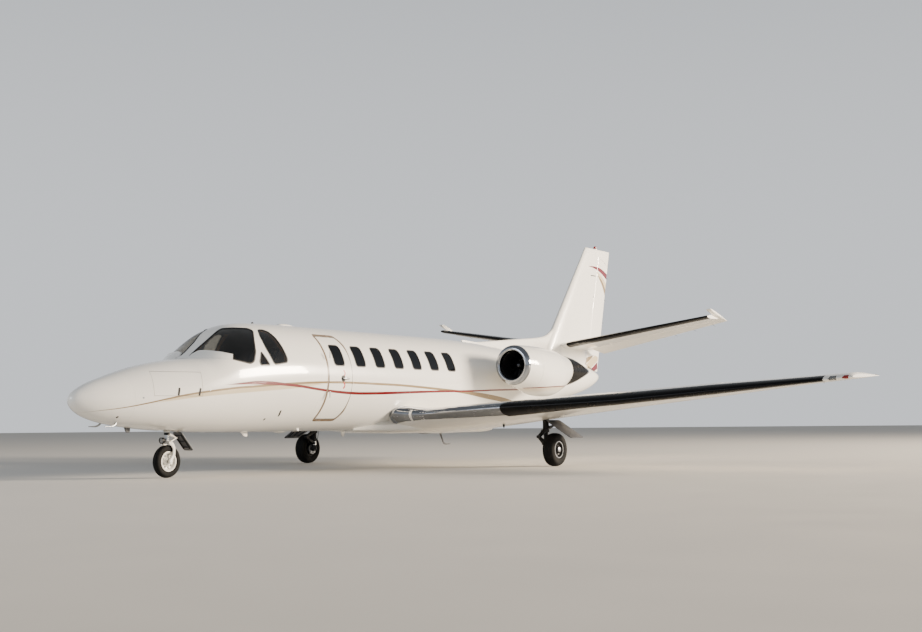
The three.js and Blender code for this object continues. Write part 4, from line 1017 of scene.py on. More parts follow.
def half_depth(depth, s):
    return 5 * depth * (0.2969 * np.sqrt(s) - 0.126 * s - 0.3516 * s ** 2 + 0.2843 * s ** 3 - 0.1015 * s ** 4)


def camber_line(camber, s):
    return camber * np.where(s < 0.25, 1 - (1 - s / 0.25) ** 2, 1 - ((s - 0.25) / 0.75) ** 2)


CHORD_STEPS = 30


def airfoil(depth, camber, steps=CHORD_STEPS):
    """(aft, up) pairs round a section from its tail over the top, as shares of the chord."""
    s = (1 - np.cos(np.linspace(0, np.pi, steps + 1))) / 2
    half = half_depth(depth, s) + 0.0012 * np.minimum(1, s * 40)
    bend = camber_line(camber, s)
    upper = list(zip(s[::-1], (bend + half)[::-1]))
    return upper + list(zip(s[1:], (bend - half)[1:]))


def wing_ring(surface, x, scale=1.0):
    lead, chord, height, setting, depth = plan(surface, x)
    ring = []
    for aft, up in airfoil(depth * scale, surface["camber"] * scale):
        ring.append(Vector((
            x, lead + chord * (aft * cos(setting) + up * sin(setting)),
            height + chord * (up * cos(setting) - aft * sin(setting)),
        )))
    if surface is WING and abs(x) < 4.4:
        forward, lift, swell = FLARE(abs(x))
        nose = min(ring, key=lambda point: point.y).copy()
        for point in ring:
            share = max(0, 1 - (point.y - nose.y) / 0.5)
            point.y -= forward * share ** 1.5
            point.z = nose.z + (point.z - nose.z) * (1 + swell * share) + lift * share ** 2
    return ring


def hinge_point(surface, x, share):
    lead, chord, height, setting, _ = plan(surface, x)
    bend = float(camber_line(surface["camber"], np.array(share)))
    return Vector((
        x, lead + chord * (share * cos(setting) + bend * sin(setting)),
        height + chord * (bend * cos(setting) - share * sin(setting)),
    ))


def nose_radius(surface, x, share):
    _, chord, _, _, depth = plan(surface, x)
    return chord * (float(half_depth(depth, np.array(share))) + 0.002)


def behind_hinge(name, start, end, radii, trim):
    """The space behind a hinge line: a round nose about it and everything aft of that."""
    along = (end - start).normalized()
    back = (Vector(AFT) - along * Vector(AFT).dot(along)).normalized()
    up = back.cross(along)
    rings = []
    for centre, radius in ((start + along * trim, radii[0]), (end - along * trim, radii[1])):
        turns = [pi / 2 + k * pi / 24 for k in range(25)]
        ring = [centre + back * (radius * cos(t)) + up * (radius * sin(t)) for t in turns]
        ring += [centre + back * 1.5 + up * (side * 2.2 * radius) for side in (-1, 1)]
        rings.append(ring)
    return loft(name, rings)


print("wing root nose at y", round(min(p.y for p in wing_ring(WING, 0.68)), 3))

# %% Wing, flap and aileron
SURFACES = {"flap": (1.01, 5.08, 0.76), "aileron": (5.12, 7.42, 0.76)}
places = list(np.linspace(0.5, 1.4, 24)) + list(np.linspace(1.4, 7.8, 28))[1:]
tip_rings = [wing_ring(WING, x, scale) for x, scale in ((7.86, 1), (7.9, 0.9), (7.93, 0.7), (7.946, 0.45))]
wing_body = loft("wing_body", [wing_ring(WING, x) for x in places] + tip_rings)
wing = twin(wing_body, "wing_skin_left")
fuselage_space = hull_solid("fuselage_space", -2.6, 3.0, -GAP)
carve(wing, fuselage_space, keep_tool=True)
controls = {}
for name, (start_x, end_x, share) in SURFACES.items():
    start, end = hinge_point(WING, start_x, share), hinge_point(WING, end_x, share)
    radii = [nose_radius(WING, x, share) for x in (start_x, end_x)]
    moving = twin(wing_body, f"{name}_skin_left")
    carve(moving, behind_hinge("moving", start, end, radii, MOVING_GAP), "INTERSECT")
    carve(wing, behind_hinge("room", start, end, [r + MOVING_GAP for r in radii], 0))
    controls[name] = moving
discard(wing_body)
GEAR_Y = 0.31
carve(wing, rod("wheel_well", (1.99, GEAR_Y, 0.5), (1.99, GEAR_Y, 0.89), 0.32, sides=64))
carve(wing, box("leg_well", 1.99, 2.76, GEAR_Y - 0.11, GEAR_Y + 0.11, 0.5, 0.905))
pad = rod("jack_boss", (3.15, -0.25, 0.812), (3.15, -0.25, 0.86), 0.032)
for name, piece in {"wing": joined("wing_panel_left", wing, pad), **controls}.items():
    body = "airframe" if name == "wing" else name + "_SIDE_body"
    both_sides(piece, plain_white, [name + "_SIDE"], body, sharp=28)

# %% [markdown]
# ## Leading edges
# Outboard, the nose of each wing and tailplane wears a black rubber boot that air pulses into to
# crack off ice. Inboard the wing's nose is bare aluminium, heated from inside and polished. Each is
# a thin skin that wraps the nose, so it is lofted from the same sections, a millimetre or so proud.

# %% Leading-edge skins
def walk_back(ring, sense, distances):
    """Points along the section from its nose, over the top for 1 and under it for -1."""
    k, walked = CHORD_STEPS, 0.0
    found = []
    for distance in distances:
        step = (ring[k - sense] - ring[k]).length
        while walked + step < distance and 1 < k < 2 * CHORD_STEPS - 1:
            walked += step
            k -= sense
            step = (ring[k - sense] - ring[k]).length
        found.append(ring[k].lerp(ring[k - sense], min(1, (distance - walked) / step)))
    return found


def nose_skin(name, surface, places, reach, proud, round_end=0.0, depth=0.004):
    """A thin strip wrapped round the nose, with its first end rounded over the length round_end.

    reach lists (station, how far over the top, how far underneath)."""
    stations, over_reach, under_reach = zip(*reach)
    rings = []
    for x in places:
        ring = wing_ring(surface, x)
        near_end = min(1, (x - places[0]) / round_end) if round_end else 1
        rounding = sqrt(max(0.02, 1 - (1 - near_end) ** 2))
        shares = [rounding * (j / 12) ** 1.4 for j in range(1, 13)]
        over = walk_back(ring, 1, [np.interp(x, stations, over_reach) * share for share in shares])
        under = walk_back(ring, -1, [np.interp(x, stations, under_reach) * share for share in shares])
        line = over[::-1] + [ring[CHORD_STEPS]] + under
        heart = ring[CHORD_STEPS] + Vector((0, 0.5, 0))
        outer, inner = [], []
        for j, point in enumerate(line):
            run = line[min(j + 1, len(line) - 1)] - line[max(j - 1, 0)]
            normal = Vector((0, -run.z, run.y)).normalized()
            normal *= copysign(1, normal.dot(point - heart))
            thin = 0.3 if j in (0, len(line) - 1) else 1
            outer.append(point + normal * proud * thin)
            inner.append(point - normal * depth)
        rings.append(outer + inner[::-1])
    return loft(name, rings)


def spread(start, end, step):
    return list(np.linspace(start, end, max(2, round((end - start) / step) + 1)))


boot_places = spread(2.42, 2.56, 0.007) + spread(2.56, 7.53, 0.2)[1:]
boot_reach = [(2.4, 0.24, 0.24), (3.0, 0.24, 0.21), (3.5, 0.24, 0.16), (4.0, 0.24, 0.13), (7.6, 0.16, 0.125)]
wing_boot = nose_skin("wing_boot_left", WING, boot_places, boot_reach, 0.0022, 0.1)
both_sides(wing_boot, boot_rubber)
bright_places = spread(0.58, 1.4, 0.02) + spread(1.4, 2.5, 0.15)[1:]
bright_reach = [(0.6, 0.25, 0.25), (0.68, 0.28, 0.235), (0.8, 0.26, 0.15), (1.0, 0.24, 0.105),
    (1.3, 0.22, 0.12), (2.4, 0.16, 0.18)]
bright = nose_skin("polished_edge_left", WING, bright_places, bright_reach, 0.001)
carve(bright, fuselage_space)
both_sides(bright, polished_aluminium)

# %% [markdown]
# ## Belly fairing
# The wing passes under the cabin, and a fairing wraps its middle so that air slips past. It is a
# shallow tub, widest where the wing joins, whose edges slope up and in to the fuselage.

# %% Belly fairing
BELLY = smooth_through([  # station, half width, height of the widest edge, bottom
    (-1.95, 0.25, 0.65, 0.606), (-1.55, 0.47, 0.7, 0.58), (-1.15, 0.78, 0.715, 0.565),
    (-0.6, 0.88, 0.7, 0.56), (1.0, 0.88, 0.65, 0.56), (1.45, 0.7, 0.645, 0.575),
    (1.9, 0.48, 0.7, 0.622), (2.4, 0.26, 0.775, 0.725),
])


def belly_ring(y):
    half, side, bottom = BELLY(y)
    turn = np.pi + np.pi * np.arange(41) / 40
    xs, zs = half * signed_power(np.cos(turn), 0.4), side + (side - bottom) * signed_power(np.sin(turn), 0.4)
    return list(zip(xs, [y] * 41, zs)) + [(half * 0.55, y, side + 0.11), (-half * 0.55, y, side + 0.11)]


belly = loft("belly_fairing_skin", [belly_ring(y) for y in spread(-1.95, 2.4, 0.06)])
carve(belly, hull_solid("fuselage_space", -2.6, 3.0, -GAP))
finish_piece(belly, plain_white, ["belly_fairing"], sharp=30)

# %% [markdown]
# ## Tailplane and elevators
# The tailplane rises 8.6 degrees to each side. With the hydraulics at rest the elevators droop, so
# they are built level and then turned down by 15 degrees about their hinge, which leaves their
# balance horns standing up at the tips.

# %% Tailplane and elevators
ELEVATOR = {"from": 0.215, "horn": 3.22, "hinge": 0.68, "droop": 15}
stab_places = spread(0, 3.17, 0.25)
tips = [wing_ring(STAB, x, scale) for x, scale in ((3.22, 0.97), (3.26, 0.8), (3.278, 0.62), (3.285, 0.4))]
stab_body = loft("stab_body", [wing_ring(STAB, x) for x in stab_places] + tips)
inner = hinge_point(STAB, ELEVATOR["from"], ELEVATOR["hinge"])
outer = hinge_point(STAB, STAB["tip"] + 0.06, ELEVATOR["hinge"])
horn_at = hinge_point(STAB, ELEVATOR["horn"], ELEVATOR["hinge"])
radii = [nose_radius(STAB, x, ELEVATOR["hinge"]) for x in (ELEVATOR["from"], STAB["tip"])]


def elevator_space(radii, trim, horn_trim):
    space = behind_hinge("elevator_space", inner, outer, radii, trim)
    horn = hinge_box("horn", horn_at, outer, AFT, [horn_trim, 0.5, -0.9, 0.9, -0.4, 0.4])
    return carve(space, horn, "UNION")


elevator = carve(twin(stab_body, "elevator_skin_left"), elevator_space(radii, MOVING_GAP, MOVING_GAP),
    "INTERSECT")
carve(stab_body, elevator_space([r + MOVING_GAP for r in radii], 0, 0))
carve(stab_body, box("middle", -0.001, 0.216, inner.y - radii[0], 7.4, 2, 3))
hinge_axis = (outer - inner).normalized()
turn = Matrix.Translation(inner) @ Matrix.Rotation(radians(-ELEVATOR["droop"]), 4, hinge_axis)
elevator.data.transform(turn @ Matrix.Translation(-inner))
tailplane = carve(stab_body, mirrored(stab_body, "stab_right"), "UNION")
tailplane.name = "tailplane_skin"
finish_piece(tailplane, plain_white, ["tailplane"], sharp=30)
both_sides(elevator, plain_white, ["elevator_SIDE"], "elevator_SIDE_body", sharp=30)
stab_places = spread(0.24, 0.3, 0.01) + spread(0.3, 3.2, 0.25)[1:]
stab_boot = nose_skin("tail_boot_left", STAB, stab_places, [(0.2, 0.16, 0.2), (3.2, 0.12, 0.16)], 0.002)
both_sides(stab_boot, boot_rubber)

# %% [markdown]
# ## Fin and rudder
# The fin's sections lie level. A low dorsal ridge runs forward along the spine, and the rudder
# hangs behind on a hinge line that leans back. The painted swoosh at its top and the small bands at
# its foot are colour only, masked by straight edges across the skin.

# %% Fin and rudder
FIN = {"base": 1.82, "top": 4.5, "lead": 4.922, "lead_at": 2.711, "lead_slope": 0.795, "trail_slope": 0.246,
       "thick": 0.105}
RUDDER = {"foot": Vector((0, 6.22, 1.94)), "slope": 0.285, "length": 2.48, "radii": (0.069, 0.053)}


def fin_ring(z, scale=1.0):
    lead = FIN["lead"] + (z - FIN["lead_at"]) * FIN["lead_slope"]
    chord = TAIL - (FIN["top"] - z) * FIN["trail_slope"] - lead
    return [Vector((chord * up, lead + chord * aft, z)) for aft, up in airfoil(FIN["thick"] * scale, 0.0)]


def swoosh(tree, base):
    _, y, z = place_of(tree, apart=True)

    def above(high, low):
        return remap(tree, sum_up(tree, "SUBTRACT", high, low), -0.002, 0.002)

    def band(below, knots, colour):
        """A band between two curves through (station, low edge, high edge) that starts at the first row."""
        share = remap(tree, y, knots[0][0], knots[-1][0], clamp=False)
        low, high = [curve_along(tree, share, [(row[0], row[i]) for row in knots], 0, 5) for i in (1, 2)]
        within = sum_up(tree, "MULTIPLY", above(z, low), above(high, z))
        ahead = sum_up(tree, "GREATER_THAN", share, 0.0)
        return blend_colours(tree, sum_up(tree, "MULTIPLY", within, ahead), below, linear(colour))

    def patch(below, corners, colour):
        """A convex patch between straight edges through corners of (station, height)."""
        inside = None
        for (y0, z0), (y1, z1) in zip(corners, corners[1:] + corners[:1]):
            length = hypot(y1 - y0, z1 - z0)
            across = sum_up(tree, "MULTIPLY", sum_up(tree, "SUBTRACT", y, y0), (z1 - z0) / length)
            along = sum_up(tree, "MULTIPLY", sum_up(tree, "SUBTRACT", z, z0), (y1 - y0) / length)
            edge = above(across, along)
            inside = edge if inside is None else sum_up(tree, "MULTIPLY", inside, edge)
        return blend_colours(tree, inside, below, linear(colour))

    colour = base
    for knots, shade in (
        ([(6.37, 4.082, 4.089), (6.7, 4.055, 4.108), (7.0, 3.985, 4.085), (7.33, 3.86, 3.995)], MAROON),
        ([(6.7, 4.025, 4.029), (6.95, 3.872, 3.952), (7.14, 3.757, 3.868), (7.29, 3.62, 3.766)], CREAM),
        ([(6.77, 3.94, 3.952), (6.93, 3.824, 3.884), (7.1, 3.662, 3.788), (7.25, 3.45, 3.645)], TAUPE),
    ):
        colour = band(colour, knots, shade)
    for corners, shade in (
        ([(6.449, 3.886), (6.449, 3.908), (6.704, 3.91), (6.704, 3.888)], "3A3634"),
        ([(6.56, 3.415), (6.56, 3.455), (6.582, 3.455), (6.582, 3.415)], "3A3634"),
        ([(5.993, 1.951), (6.201, 2.104), (6.638, 2.176), (6.451, 2.091), (6.15, 1.928)], "8F7A58"),
        ([(6.15, 1.928), (6.451, 2.091), (6.661, 2.166), (6.823, 2.138), (6.819, 2.057), (6.327, 1.83)],
         "C9B995"),
        ([(6.304, 1.8), (6.8, 2.03), (6.8, 1.88), (6.463, 1.76)], MAROON),
    ):
        colour = patch(colour, corners, shade)
    return colour


tail_paint = white_paint("gloss white with tail swoosh", swoosh)
blade_places = [FIN["base"] + k * (FIN["top"] - 0.04 - FIN["base"]) / 16 for k in range(17)]
caps = [fin_ring(FIN["top"] - drop, scale) for drop, scale in ((0.02, 0.94), (0.006, 0.8), (0, 0.6))]
blade = loft("blade", [fin_ring(z) for z in blade_places] + caps)
ridge_rows = smooth_through([  # station, top, half width
    (1.55, 2.205, 0.008), (1.9, 2.232, 0.026), (3.2, 2.345, 0.034), (4.4, 2.455, 0.038), (4.6, 2.5, 0.04),
    (4.8, 2.6, 0.04), (5.05, 2.78, 0.044),
])


def ridge_ring(y):
    top, half = ridge_rows(y)
    foot = hull_section(y)[0] - 0.12
    flank = [(2.2, foot), (1.5, foot + 0.11), (1.12, foot + 0.16), (1, (top + foot + 0.11) / 2),
        (0.9, top - 0.03), (0.6, top - 0.012), (0.3, top - 0.003)]
    run = [(share * half, y, z) for share, z in flank]
    return run + [(0, y, top)] + [(-x, y, z) for x, y, z in reversed(run)]


ridge = loft("ridge", [ridge_ring(y) for y in spread(1.55, 5.05, 0.1)])
root_rows = smooth_through([(4.75, 0.04, 2.1), (5.0, 0.12, 2.3), (5.5, 0.165, 2.33), (6.05, 0.12, 2.33),
    (6.19, 0.07, 2.32)])


def root_ring(y):
    half, top = root_rows(y)
    foot = hull_section(y)[0] - 0.16
    flank = [(1.25, foot), (1.08, (foot + top) / 2), (1, top - 0.09), (0.9, top - 0.04), (0.7, top - 0.015)]
    run = [(share * half, y, z) for share, z in flank]
    return run + [(-x, y, z) for x, y, z in reversed(run)]


root = loft("root", [root_ring(y) for y in spread(4.75, 6.19, 0.08)])
axis = Vector((0, RUDDER["slope"], 1)).normalized()
head = RUDDER["foot"] + axis * RUDDER["length"]
rudder = twin(blade, "rudder_skin")
hinge_room = [r + MOVING_GAP for r in RUDDER["radii"]]
carve(rudder, behind_hinge("rudder_space", RUDDER["foot"], head, RUDDER["radii"], MOVING_GAP), "INTERSECT")
fin = carve(carve(blade, ridge, "UNION"), root, "UNION")
carve(fin, behind_hinge("rudder_room", RUDDER["foot"], head, hinge_room, 0))
below = RUDDER["foot"] - axis * 0.6
carve(fin, behind_hinge("foot_room", below, RUDDER["foot"], hinge_room, -0.001))
carve(fin, hull_solid("fuselage_space", 1.0, TAIL_END, -GAP))
carve(fin, twin(tailplane, "tail_space"))
fin.name = "fin_skin"
finish_piece(fin, tail_paint, ["fin"], sharp=30)
finish_piece(rudder, tail_paint, ["rudder"], "rudder_body", sharp=30)

# %% [markdown]
# ## Engines
# Each turbofan hangs in a pod beside the tail on a short pylon. Air enters past a polished lip and a
# duct to the fan. The duct, its vanes and the fan are coloured near black: painted shade for the
# dark inside of the intake. The pod's sections are ovals that change along its length, while the lip,
# the fan and the nozzle are turned about the engine's axis. The nozzle's skin is cut away above and
# below, so that its sides reach furthest aft.

# %% Pods and pylons
ENGINE_X, INTAKE_Z, EXHAUST_Z, DUCT, BORE = 1.35, 1.74, 1.68, 0.252, 0.272
POD = smooth_through([  # station, height of the centre, half width, half height
    (1.2, 1.74, 0.356, 0.356), (1.5, 1.7065, 0.402, 0.3965), (1.9, 1.6495, 0.42, 0.4445),
    (2.3, 1.6325, 0.402, 0.4325), (2.6, 1.648, 0.35, 0.358), (2.8, 1.68, 0.3, 0.29),
])


def oval(x, y, z, wide, high, sides=96):
    return [(x + wide * cos(t), y, z + high * sin(t)) for t in circle(sides)]


def pod_lines(tree, base):
    """A maroon line low on each pod, with the white below it tinted cream."""
    x, y, z = place_of(tree, apart=True)
    rise = sum_up(tree, "MULTIPLY", sum_up(tree, "SUBTRACT", y, 1.512), 0.052)
    below = sum_up(tree, "SUBTRACT", sum_up(tree, "ADD", rise, 1.338), z)
    tinted = sum_up(tree, "MULTIPLY", remap(tree, below, 0, 0.004, 0, 0.8), remap(tree, below, 0.1, 0.03))
    cream = blend_colours(tree, tinted, base, linear("DCCDB2"))
    away = sum_up(tree, "SUBTRACT", 0.0085, sum_up(tree, "ABSOLUTE", below))
    line = remap(tree, away, -0.001, 0.001)
    outboard = sum_up(tree, "GREATER_THAN", sum_up(tree, "ABSOLUTE", x), ENGINE_X + 0.05)
    return blend_colours(tree, sum_up(tree, "MULTIPLY", line, outboard), cream, linear(MAROON))


pod_paint = white_paint("gloss white with pod line", pod_lines)
pod = loft("nacelle_skin_left", [oval(ENGINE_X, y, *POD(y)) for y in spread(1.2, 2.8, 0.04)])
pod_space = twin(pod, "pod_space")
carve(pod, rod("duct", (ENGINE_X, 1.1, INTAKE_Z), (ENGINE_X, 1.76, INTAKE_Z), DUCT, sides=96))
carve(pod, rod("core_room", (ENGINE_X, 1.79, EXHAUST_Z), (ENGINE_X, 2.9, EXHAUST_Z), BORE, sides=96))
for y in (1.56, 2.38):
    discs = []
    for out, half in ((0.01, 0.0025), (-0.004, 0.003)):
        ends = [oval(ENGINE_X, at, *(POD(at) + np.array([0, out, out]))) for at in (y - half, y + half)]
        discs.append(loft("seam", ends))
    carve(pod, carve(*discs))
both_sides(pod, pod_paint, ["nacelle_SIDE"], sharp=30)


def pylon_ring(x, swell):
    return [Vector((x, 1.65 + 1.5 * aft, 1.705 + 1.5 * up)) for aft, up in airfoil(0.07 * (1 + swell), 0)]


pylon_xs = spread(0.5, 1.2, 0.05)
pylon = loft("pylon_skin_left", [pylon_ring(x, 0.9 * max(0, (0.8 - x) / 0.3) ** 2) for x in pylon_xs])
carve(pylon, hull_solid("fuselage_space", 1.0, TAIL_END, -GAP))
carve(pylon, pod_space)
both_sides(pylon, plain_white, sharp=30)

# %% Lips, fans and nozzles
lip_curve = smooth_through([(0.0, 0.356, 1.2), (0.16, 0.35, 1.165), (0.4, 0.324, 1.125), (0.55, 0.3, 1.112),
    (0.68, 0.28, 1.11), (0.78, 0.265, 1.118), (0.88, 0.251, 1.145), (1.0, 0.252, 1.2)])
lip_outline = [tuple(lip_curve(k / 36)) for k in range(37)]
lip_outline += [(0.262, 1.2), (0.264, 1.15), (0.284, 1.125), (0.312, 1.138), (0.336, 1.17), (0.346, 1.2)]
for side, x in (("left", ENGINE_X), ("right", -ENGINE_X)):
    lip = turned(f"intake_lip_skin_{side}", lip_outline, (x, 0, INTAKE_Z), AFT, 96)
    finish_piece(lip, polished_aluminium, [f"intake_lip_{side}"], sharp=50)
    # The duct lining's near black is painted shade.
    duct = [(DUCT - 0.0005, 1.2), (DUCT - 0.0005, 1.759), (DUCT - 0.003, 1.759), (DUCT - 0.003, 1.2)]
    lining = turned(f"duct_lining_{side}", duct, (x, 0, INTAKE_Z), AFT, 96)
    finish_piece(lining, duct_shade_paint)

BOW = 0.006  # how far the middle of a blade's section bulges


def fan_blade(turn, x):
    """A twisted blade: its section leans more towards the tip."""
    outward, around = Vector((cos(turn), 0, sin(turn))), Vector((-sin(turn), 0, cos(turn)))
    outline = [(-0.5, 0, 0.15), (-0.25, BOW, 0.9), (0.0, BOW * 1.3, 1), (0.25, BOW, 0.7), (0.5, 0, 0.1)]
    rings = []
    for k in range(7):
        lean, chord, thick = radians(26 + 5.2 * k), 0.07 + 0.004 * k, 0.01 - 0.001 * k
        heart = Vector((x, 1.48, INTAKE_Z)) + outward * (0.07 + k * 0.0288)
        run = Vector((0, cos(lean), 0)) + around * sin(lean)
        side = outward.cross(run)
        front = [heart + run * chord * a + side * (b + thick / 2 * c) for a, b, c in outline]
        back = [heart + run * chord * a + side * (b - thick / 2 * c) for a, b, c in reversed(outline)]
        rings.append(front + back)
    return loft("blade", rings)


BLADES = 14
spinner = [(AXIS, 1.33), (0.02, 1.331), (0.038, 1.342), (0.055, 1.366), (0.07, 1.4), (0.082, 1.44),
           (0.09, 1.49), (0.092, 1.525), (AXIS, 1.525)]
for side, x in (("left", ENGINE_X), ("right", -ENGINE_X)):
    # The fan's and the stator's dark colours are painted shade for the inside of the intake.
    blades = [fan_blade(t, x) for t in circle(BLADES)]
    blades.append(turned("spinner", spinner, (x, 0, INTAKE_Z), AFT, 48))
    fan = joined(f"fan_rotor_{side}", *blades)
    finish_piece(fan, fan_titanium_in_painted_shade, [f"fan_{side}"], f"fan_{side}_body", sharp=45)
    vanes = []
    for t in circle(24, 0.5):
        foot, tip = [Vector((x + r * cos(t), 1.66, INTAKE_Z + r * sin(t))) for r in (0.1, DUCT - 0.004)]
        vanes.append(bar("vane", foot, tip, AFT, 0.07, 0.006))
    hub = turned("hub", [(AXIS, 1.58), (0.11, 1.6), (0.12, 1.74), (AXIS, 1.74)], (x, 0, INTAKE_Z), AFT)
    finish_piece(joined(f"stator_{side}", hub, *vanes), duct_shade_paint, sharp=40)

nozzle_curve = smooth_through([(2.801, 0.288), (3.0, 0.28), (3.25, 0.262), (3.53, 0.238)])
nozzle_ys = spread(2.801, 3.53, 0.05)
nozzle_outline = [(float(nozzle_curve(y)[0]), y) for y in nozzle_ys]
nozzle_outline += [(radius - (0.014 if y < 3.5 else 0.008), y) for radius, y in reversed(nozzle_outline)]
NOZZLE_SIDE, NOZZLE_RUN = 3.53, 2.35


def nozzle_shape(name, ahead):
    """The space the nozzle fills, seen from the side: an arrow head that points aft."""
    tip = NOZZLE_SIDE - ahead
    foot = tip - NOZZLE_RUN * 0.3
    lower = [(2.7, -0.4), (foot, -0.4), (foot, -0.3), (tip - 0.03, -0.03)]
    outline = lower + [(tip, 0)] + [(y, -z) for y, z in reversed(lower)]
    return slot_through(name, [(y, EXHAUST_Z + z) for y, z in outline], SIDE_VIEW, -0.2, 2.2)


nozzle = turned("nozzle_skin_left", nozzle_outline, (ENGINE_X, 0, EXHAUST_Z), AFT, 96)
edge = twin(nozzle, "nozzle_edge_left")
to_axis = Matrix.Translation((ENGINE_X, 0, EXHAUST_Z))
edge.data.transform(to_axis @ Matrix.Diagonal((1.006, 1, 1.006, 1)) @ to_axis.inverted())
carve(nozzle, nozzle_shape("nozzle_space", 0.0), "INTERSECT")
carve(edge, nozzle_shape("edge_space", -0.004), "INTERSECT")
carve(edge, nozzle_shape("edge_hole", 0.055))
both_sides(nozzle, nozzle_enamel, ["nozzle_SIDE"], sharp=35)
both_sides(edge, polished_aluminium, sharp=35)

# %% [markdown]
# ## Wheels and tyres
# An aircraft tyre is a fat ring with a few grooves round it and no blocks. The wheel inside is cast
# in two halves bolted together, with a row of holes that let brake heat out. One function makes
# every tyre and one makes every wheel, from a centre, a width and the size and number of holes.

# %% Wheels and tyres
NOSE_GEAR_Y, NOSE_AXLE, NOSE_TYRE, NOSE_WIDTH = -5.757, 0.22655, 0.22655, 0.112
MAIN_X, LEG_X, MAIN_AXLE, MAIN_TYRE, MAIN_WIDTH = 2.68, 2.515, 0.2726, 0.2726, 0.2
RIM = 0.13


def tyre(name, centre, radius, width, grooves):
    high, middle = (radius - RIM) / 2, (radius + RIM) / 2
    outline = []
    for k in range(33):
        a = radians(-140 + 280 * k / 32)
        outline.append((middle + high * float(signed_power(cos(a), 0.62)),
            width / 2 * float(signed_power(sin(a), 0.8))))
    outline += [(RIM - 0.002, width * 0.3), (RIM - 0.002, -width * 0.3)]
    ring = turned(name, outline, centre, ACROSS, 96)
    for place in grooves:
        a, b, deep = place * width - 0.0035, place * width + 0.0035, radius - 0.007
        cut = [(deep, a), (radius + 0.01, a), (radius + 0.01, b), (deep, b)]
        carve(ring, turned("groove", cut, centre, ACROSS, 96))
    return ring


def wheel(name, centre, width, holes, hole_at=0.7, hole=0.011):
    """A rim, a dished disc with a ring of holes, a hub and its bolts."""
    w = width * 0.36
    half = [(RIM - 0.022, 0.0), (RIM - 0.016, w - 0.03), (RIM - 0.002, w - 0.01), (RIM + 0.012, w - 0.003),
        (RIM + 0.01, w + 0.005), (RIM - 0.006, w + 0.005), (RIM - 0.02, w - 0.008), (RIM - 0.03, w - 0.026),
        (RIM * 0.6, w - 0.03), (RIM * 0.42, w - 0.012), (RIM * 0.36, w + 0.002), (0.028, w + 0.004)]
    outline = half + [(r, -a) for r, a in reversed(half[1:])]
    rim = turned(name, outline, centre, ACROSS, 96)
    centre = Vector(centre)
    for t in circle(holes):
        at = centre + Vector((0, cos(t), sin(t))) * RIM * hole_at
        carve(rim, rod("hole", at - Vector((0.1, 0, 0)), at + Vector((0.1, 0, 0)), hole, sides=16))
    bolts = []
    for t in circle(holes, 0.5):
        at = centre + Vector((0, cos(t), sin(t))) * RIM * 0.56
        ends = [at + Vector((side * (w - 0.02), 0, 0)) for side in (-1, 1)]
        bolts.append(rod("bolt", *ends, 0.006, sides=6))
    return joined(name, rim, *bolts)


nose_centre = (0, NOSE_GEAR_Y, NOSE_AXLE)
nose_tyre = tyre("nose_tyre_skin", nose_centre, NOSE_TYRE, NOSE_WIDTH, (-0.22, 0.22))
finish_piece(nose_tyre, tyre_rubber, ["nose_tyre"], "nose_wheel_body", sharp=40)
nose_rim = wheel("nose_wheel_skin", nose_centre, NOSE_WIDTH, 9, 0.66, 0.017)
finish_piece(nose_rim, gear_enamel, ["nose_wheel"], "nose_wheel_body")
for side, x in (("left", MAIN_X), ("right", -MAIN_X)):
    centre = (x, GEAR_Y, MAIN_AXLE)
    body = f"main_wheel_{side}_body"
    piece = tyre(f"main_tyre_skin_{side}", centre, MAIN_TYRE, MAIN_WIDTH, (-0.3, -0.1, 0.1, 0.3))
    finish_piece(piece, tyre_rubber, [f"main_tyre_{side}"], body, sharp=40)
    # The main wheels are bare steel. Only the ring at the outer flange and the hub cap are drawn as steel;
    # the black enamel on the rest of the wheel is painted shade.
    piece = wheel(f"main_wheel_skin_{side}", centre, MAIN_WIDTH, 10, hole=0.013)
    finish_piece(piece, black_enamel_and_painted_shade, [f"main_wheel_{side}"], body, slot="bare_steel")
    ring = [(RIM - 0.004, 0.078), (RIM + 0.008, 0.078), (RIM + 0.008, 0.084), (RIM - 0.004, 0.084)]
    bright = turned(f"wheel_ring_{side}", ring, centre, (copysign(1, x), 0, 0), 96)
    cap = [(AXIS, 0.06), (0.04, 0.06), (0.046, 0.082), (0.04, 0.094), (0.018, 0.1), (AXIS, 0.1)]
    hub = turned("hub_cap", cap, centre, (copysign(1, x), 0, 0), 48)
    finish_piece(joined(f"wheel_bright_{side}", bright, hub), machined_steel, body=body)

# %% [markdown]
# ## Landing gear
# Each leg is an air and oil strut: a chromed piston slides in an enamelled cylinder, and a hinged
# pair of links keeps the wheel from turning round it. Castings have no sharp edges, so their arms
# are bars bent through a few points with rounded sections. The nose fork steers, and its lamp, its
# links and its wheel turn with it.

# %% Nose gear
def swept(name, knots, side, steps=5, sides=20, square=0.6):
    """A bar bent through knots of (x, y, z, width along side, depth across it), with rounded corners."""
    path = smooth_through([(i, *knot) for i, knot in enumerate(knots)])
    stops = [path(k / steps) for k in range((len(knots) - 1) * steps + 1)]
    turns = 2 * np.pi * (np.arange(sides) + 0.5) / sides
    us, vs = signed_power(np.cos(turns), square), signed_power(np.sin(turns), square)
    rings = []
    for i, (x, y, z, wide, deep) in enumerate(stops):
        run = Vector(stops[min(i + 1, len(stops) - 1)][:3]) - Vector(stops[max(i - 1, 0)][:3])
        across = Vector(side).cross(run).normalized()
        level = run.cross(across).normalized()
        rings.append([Vector((x, y, z)) + level * (u * wide / 2) + across * (v * deep / 2)
            for u, v in zip(us, vs)])
    return loft(name, rings)


def collar(name, centre, radius, low, high, edge=0.004, sides=48):
    """A ring round an upright strut with its edges broken."""
    outline = [(AXIS, low), (radius - edge, low), (radius, low + edge), (radius, high - edge),
               (radius - edge, high), (AXIS, high)]
    return turned(name, outline, (centre[0], centre[1], 0), UP, sides)


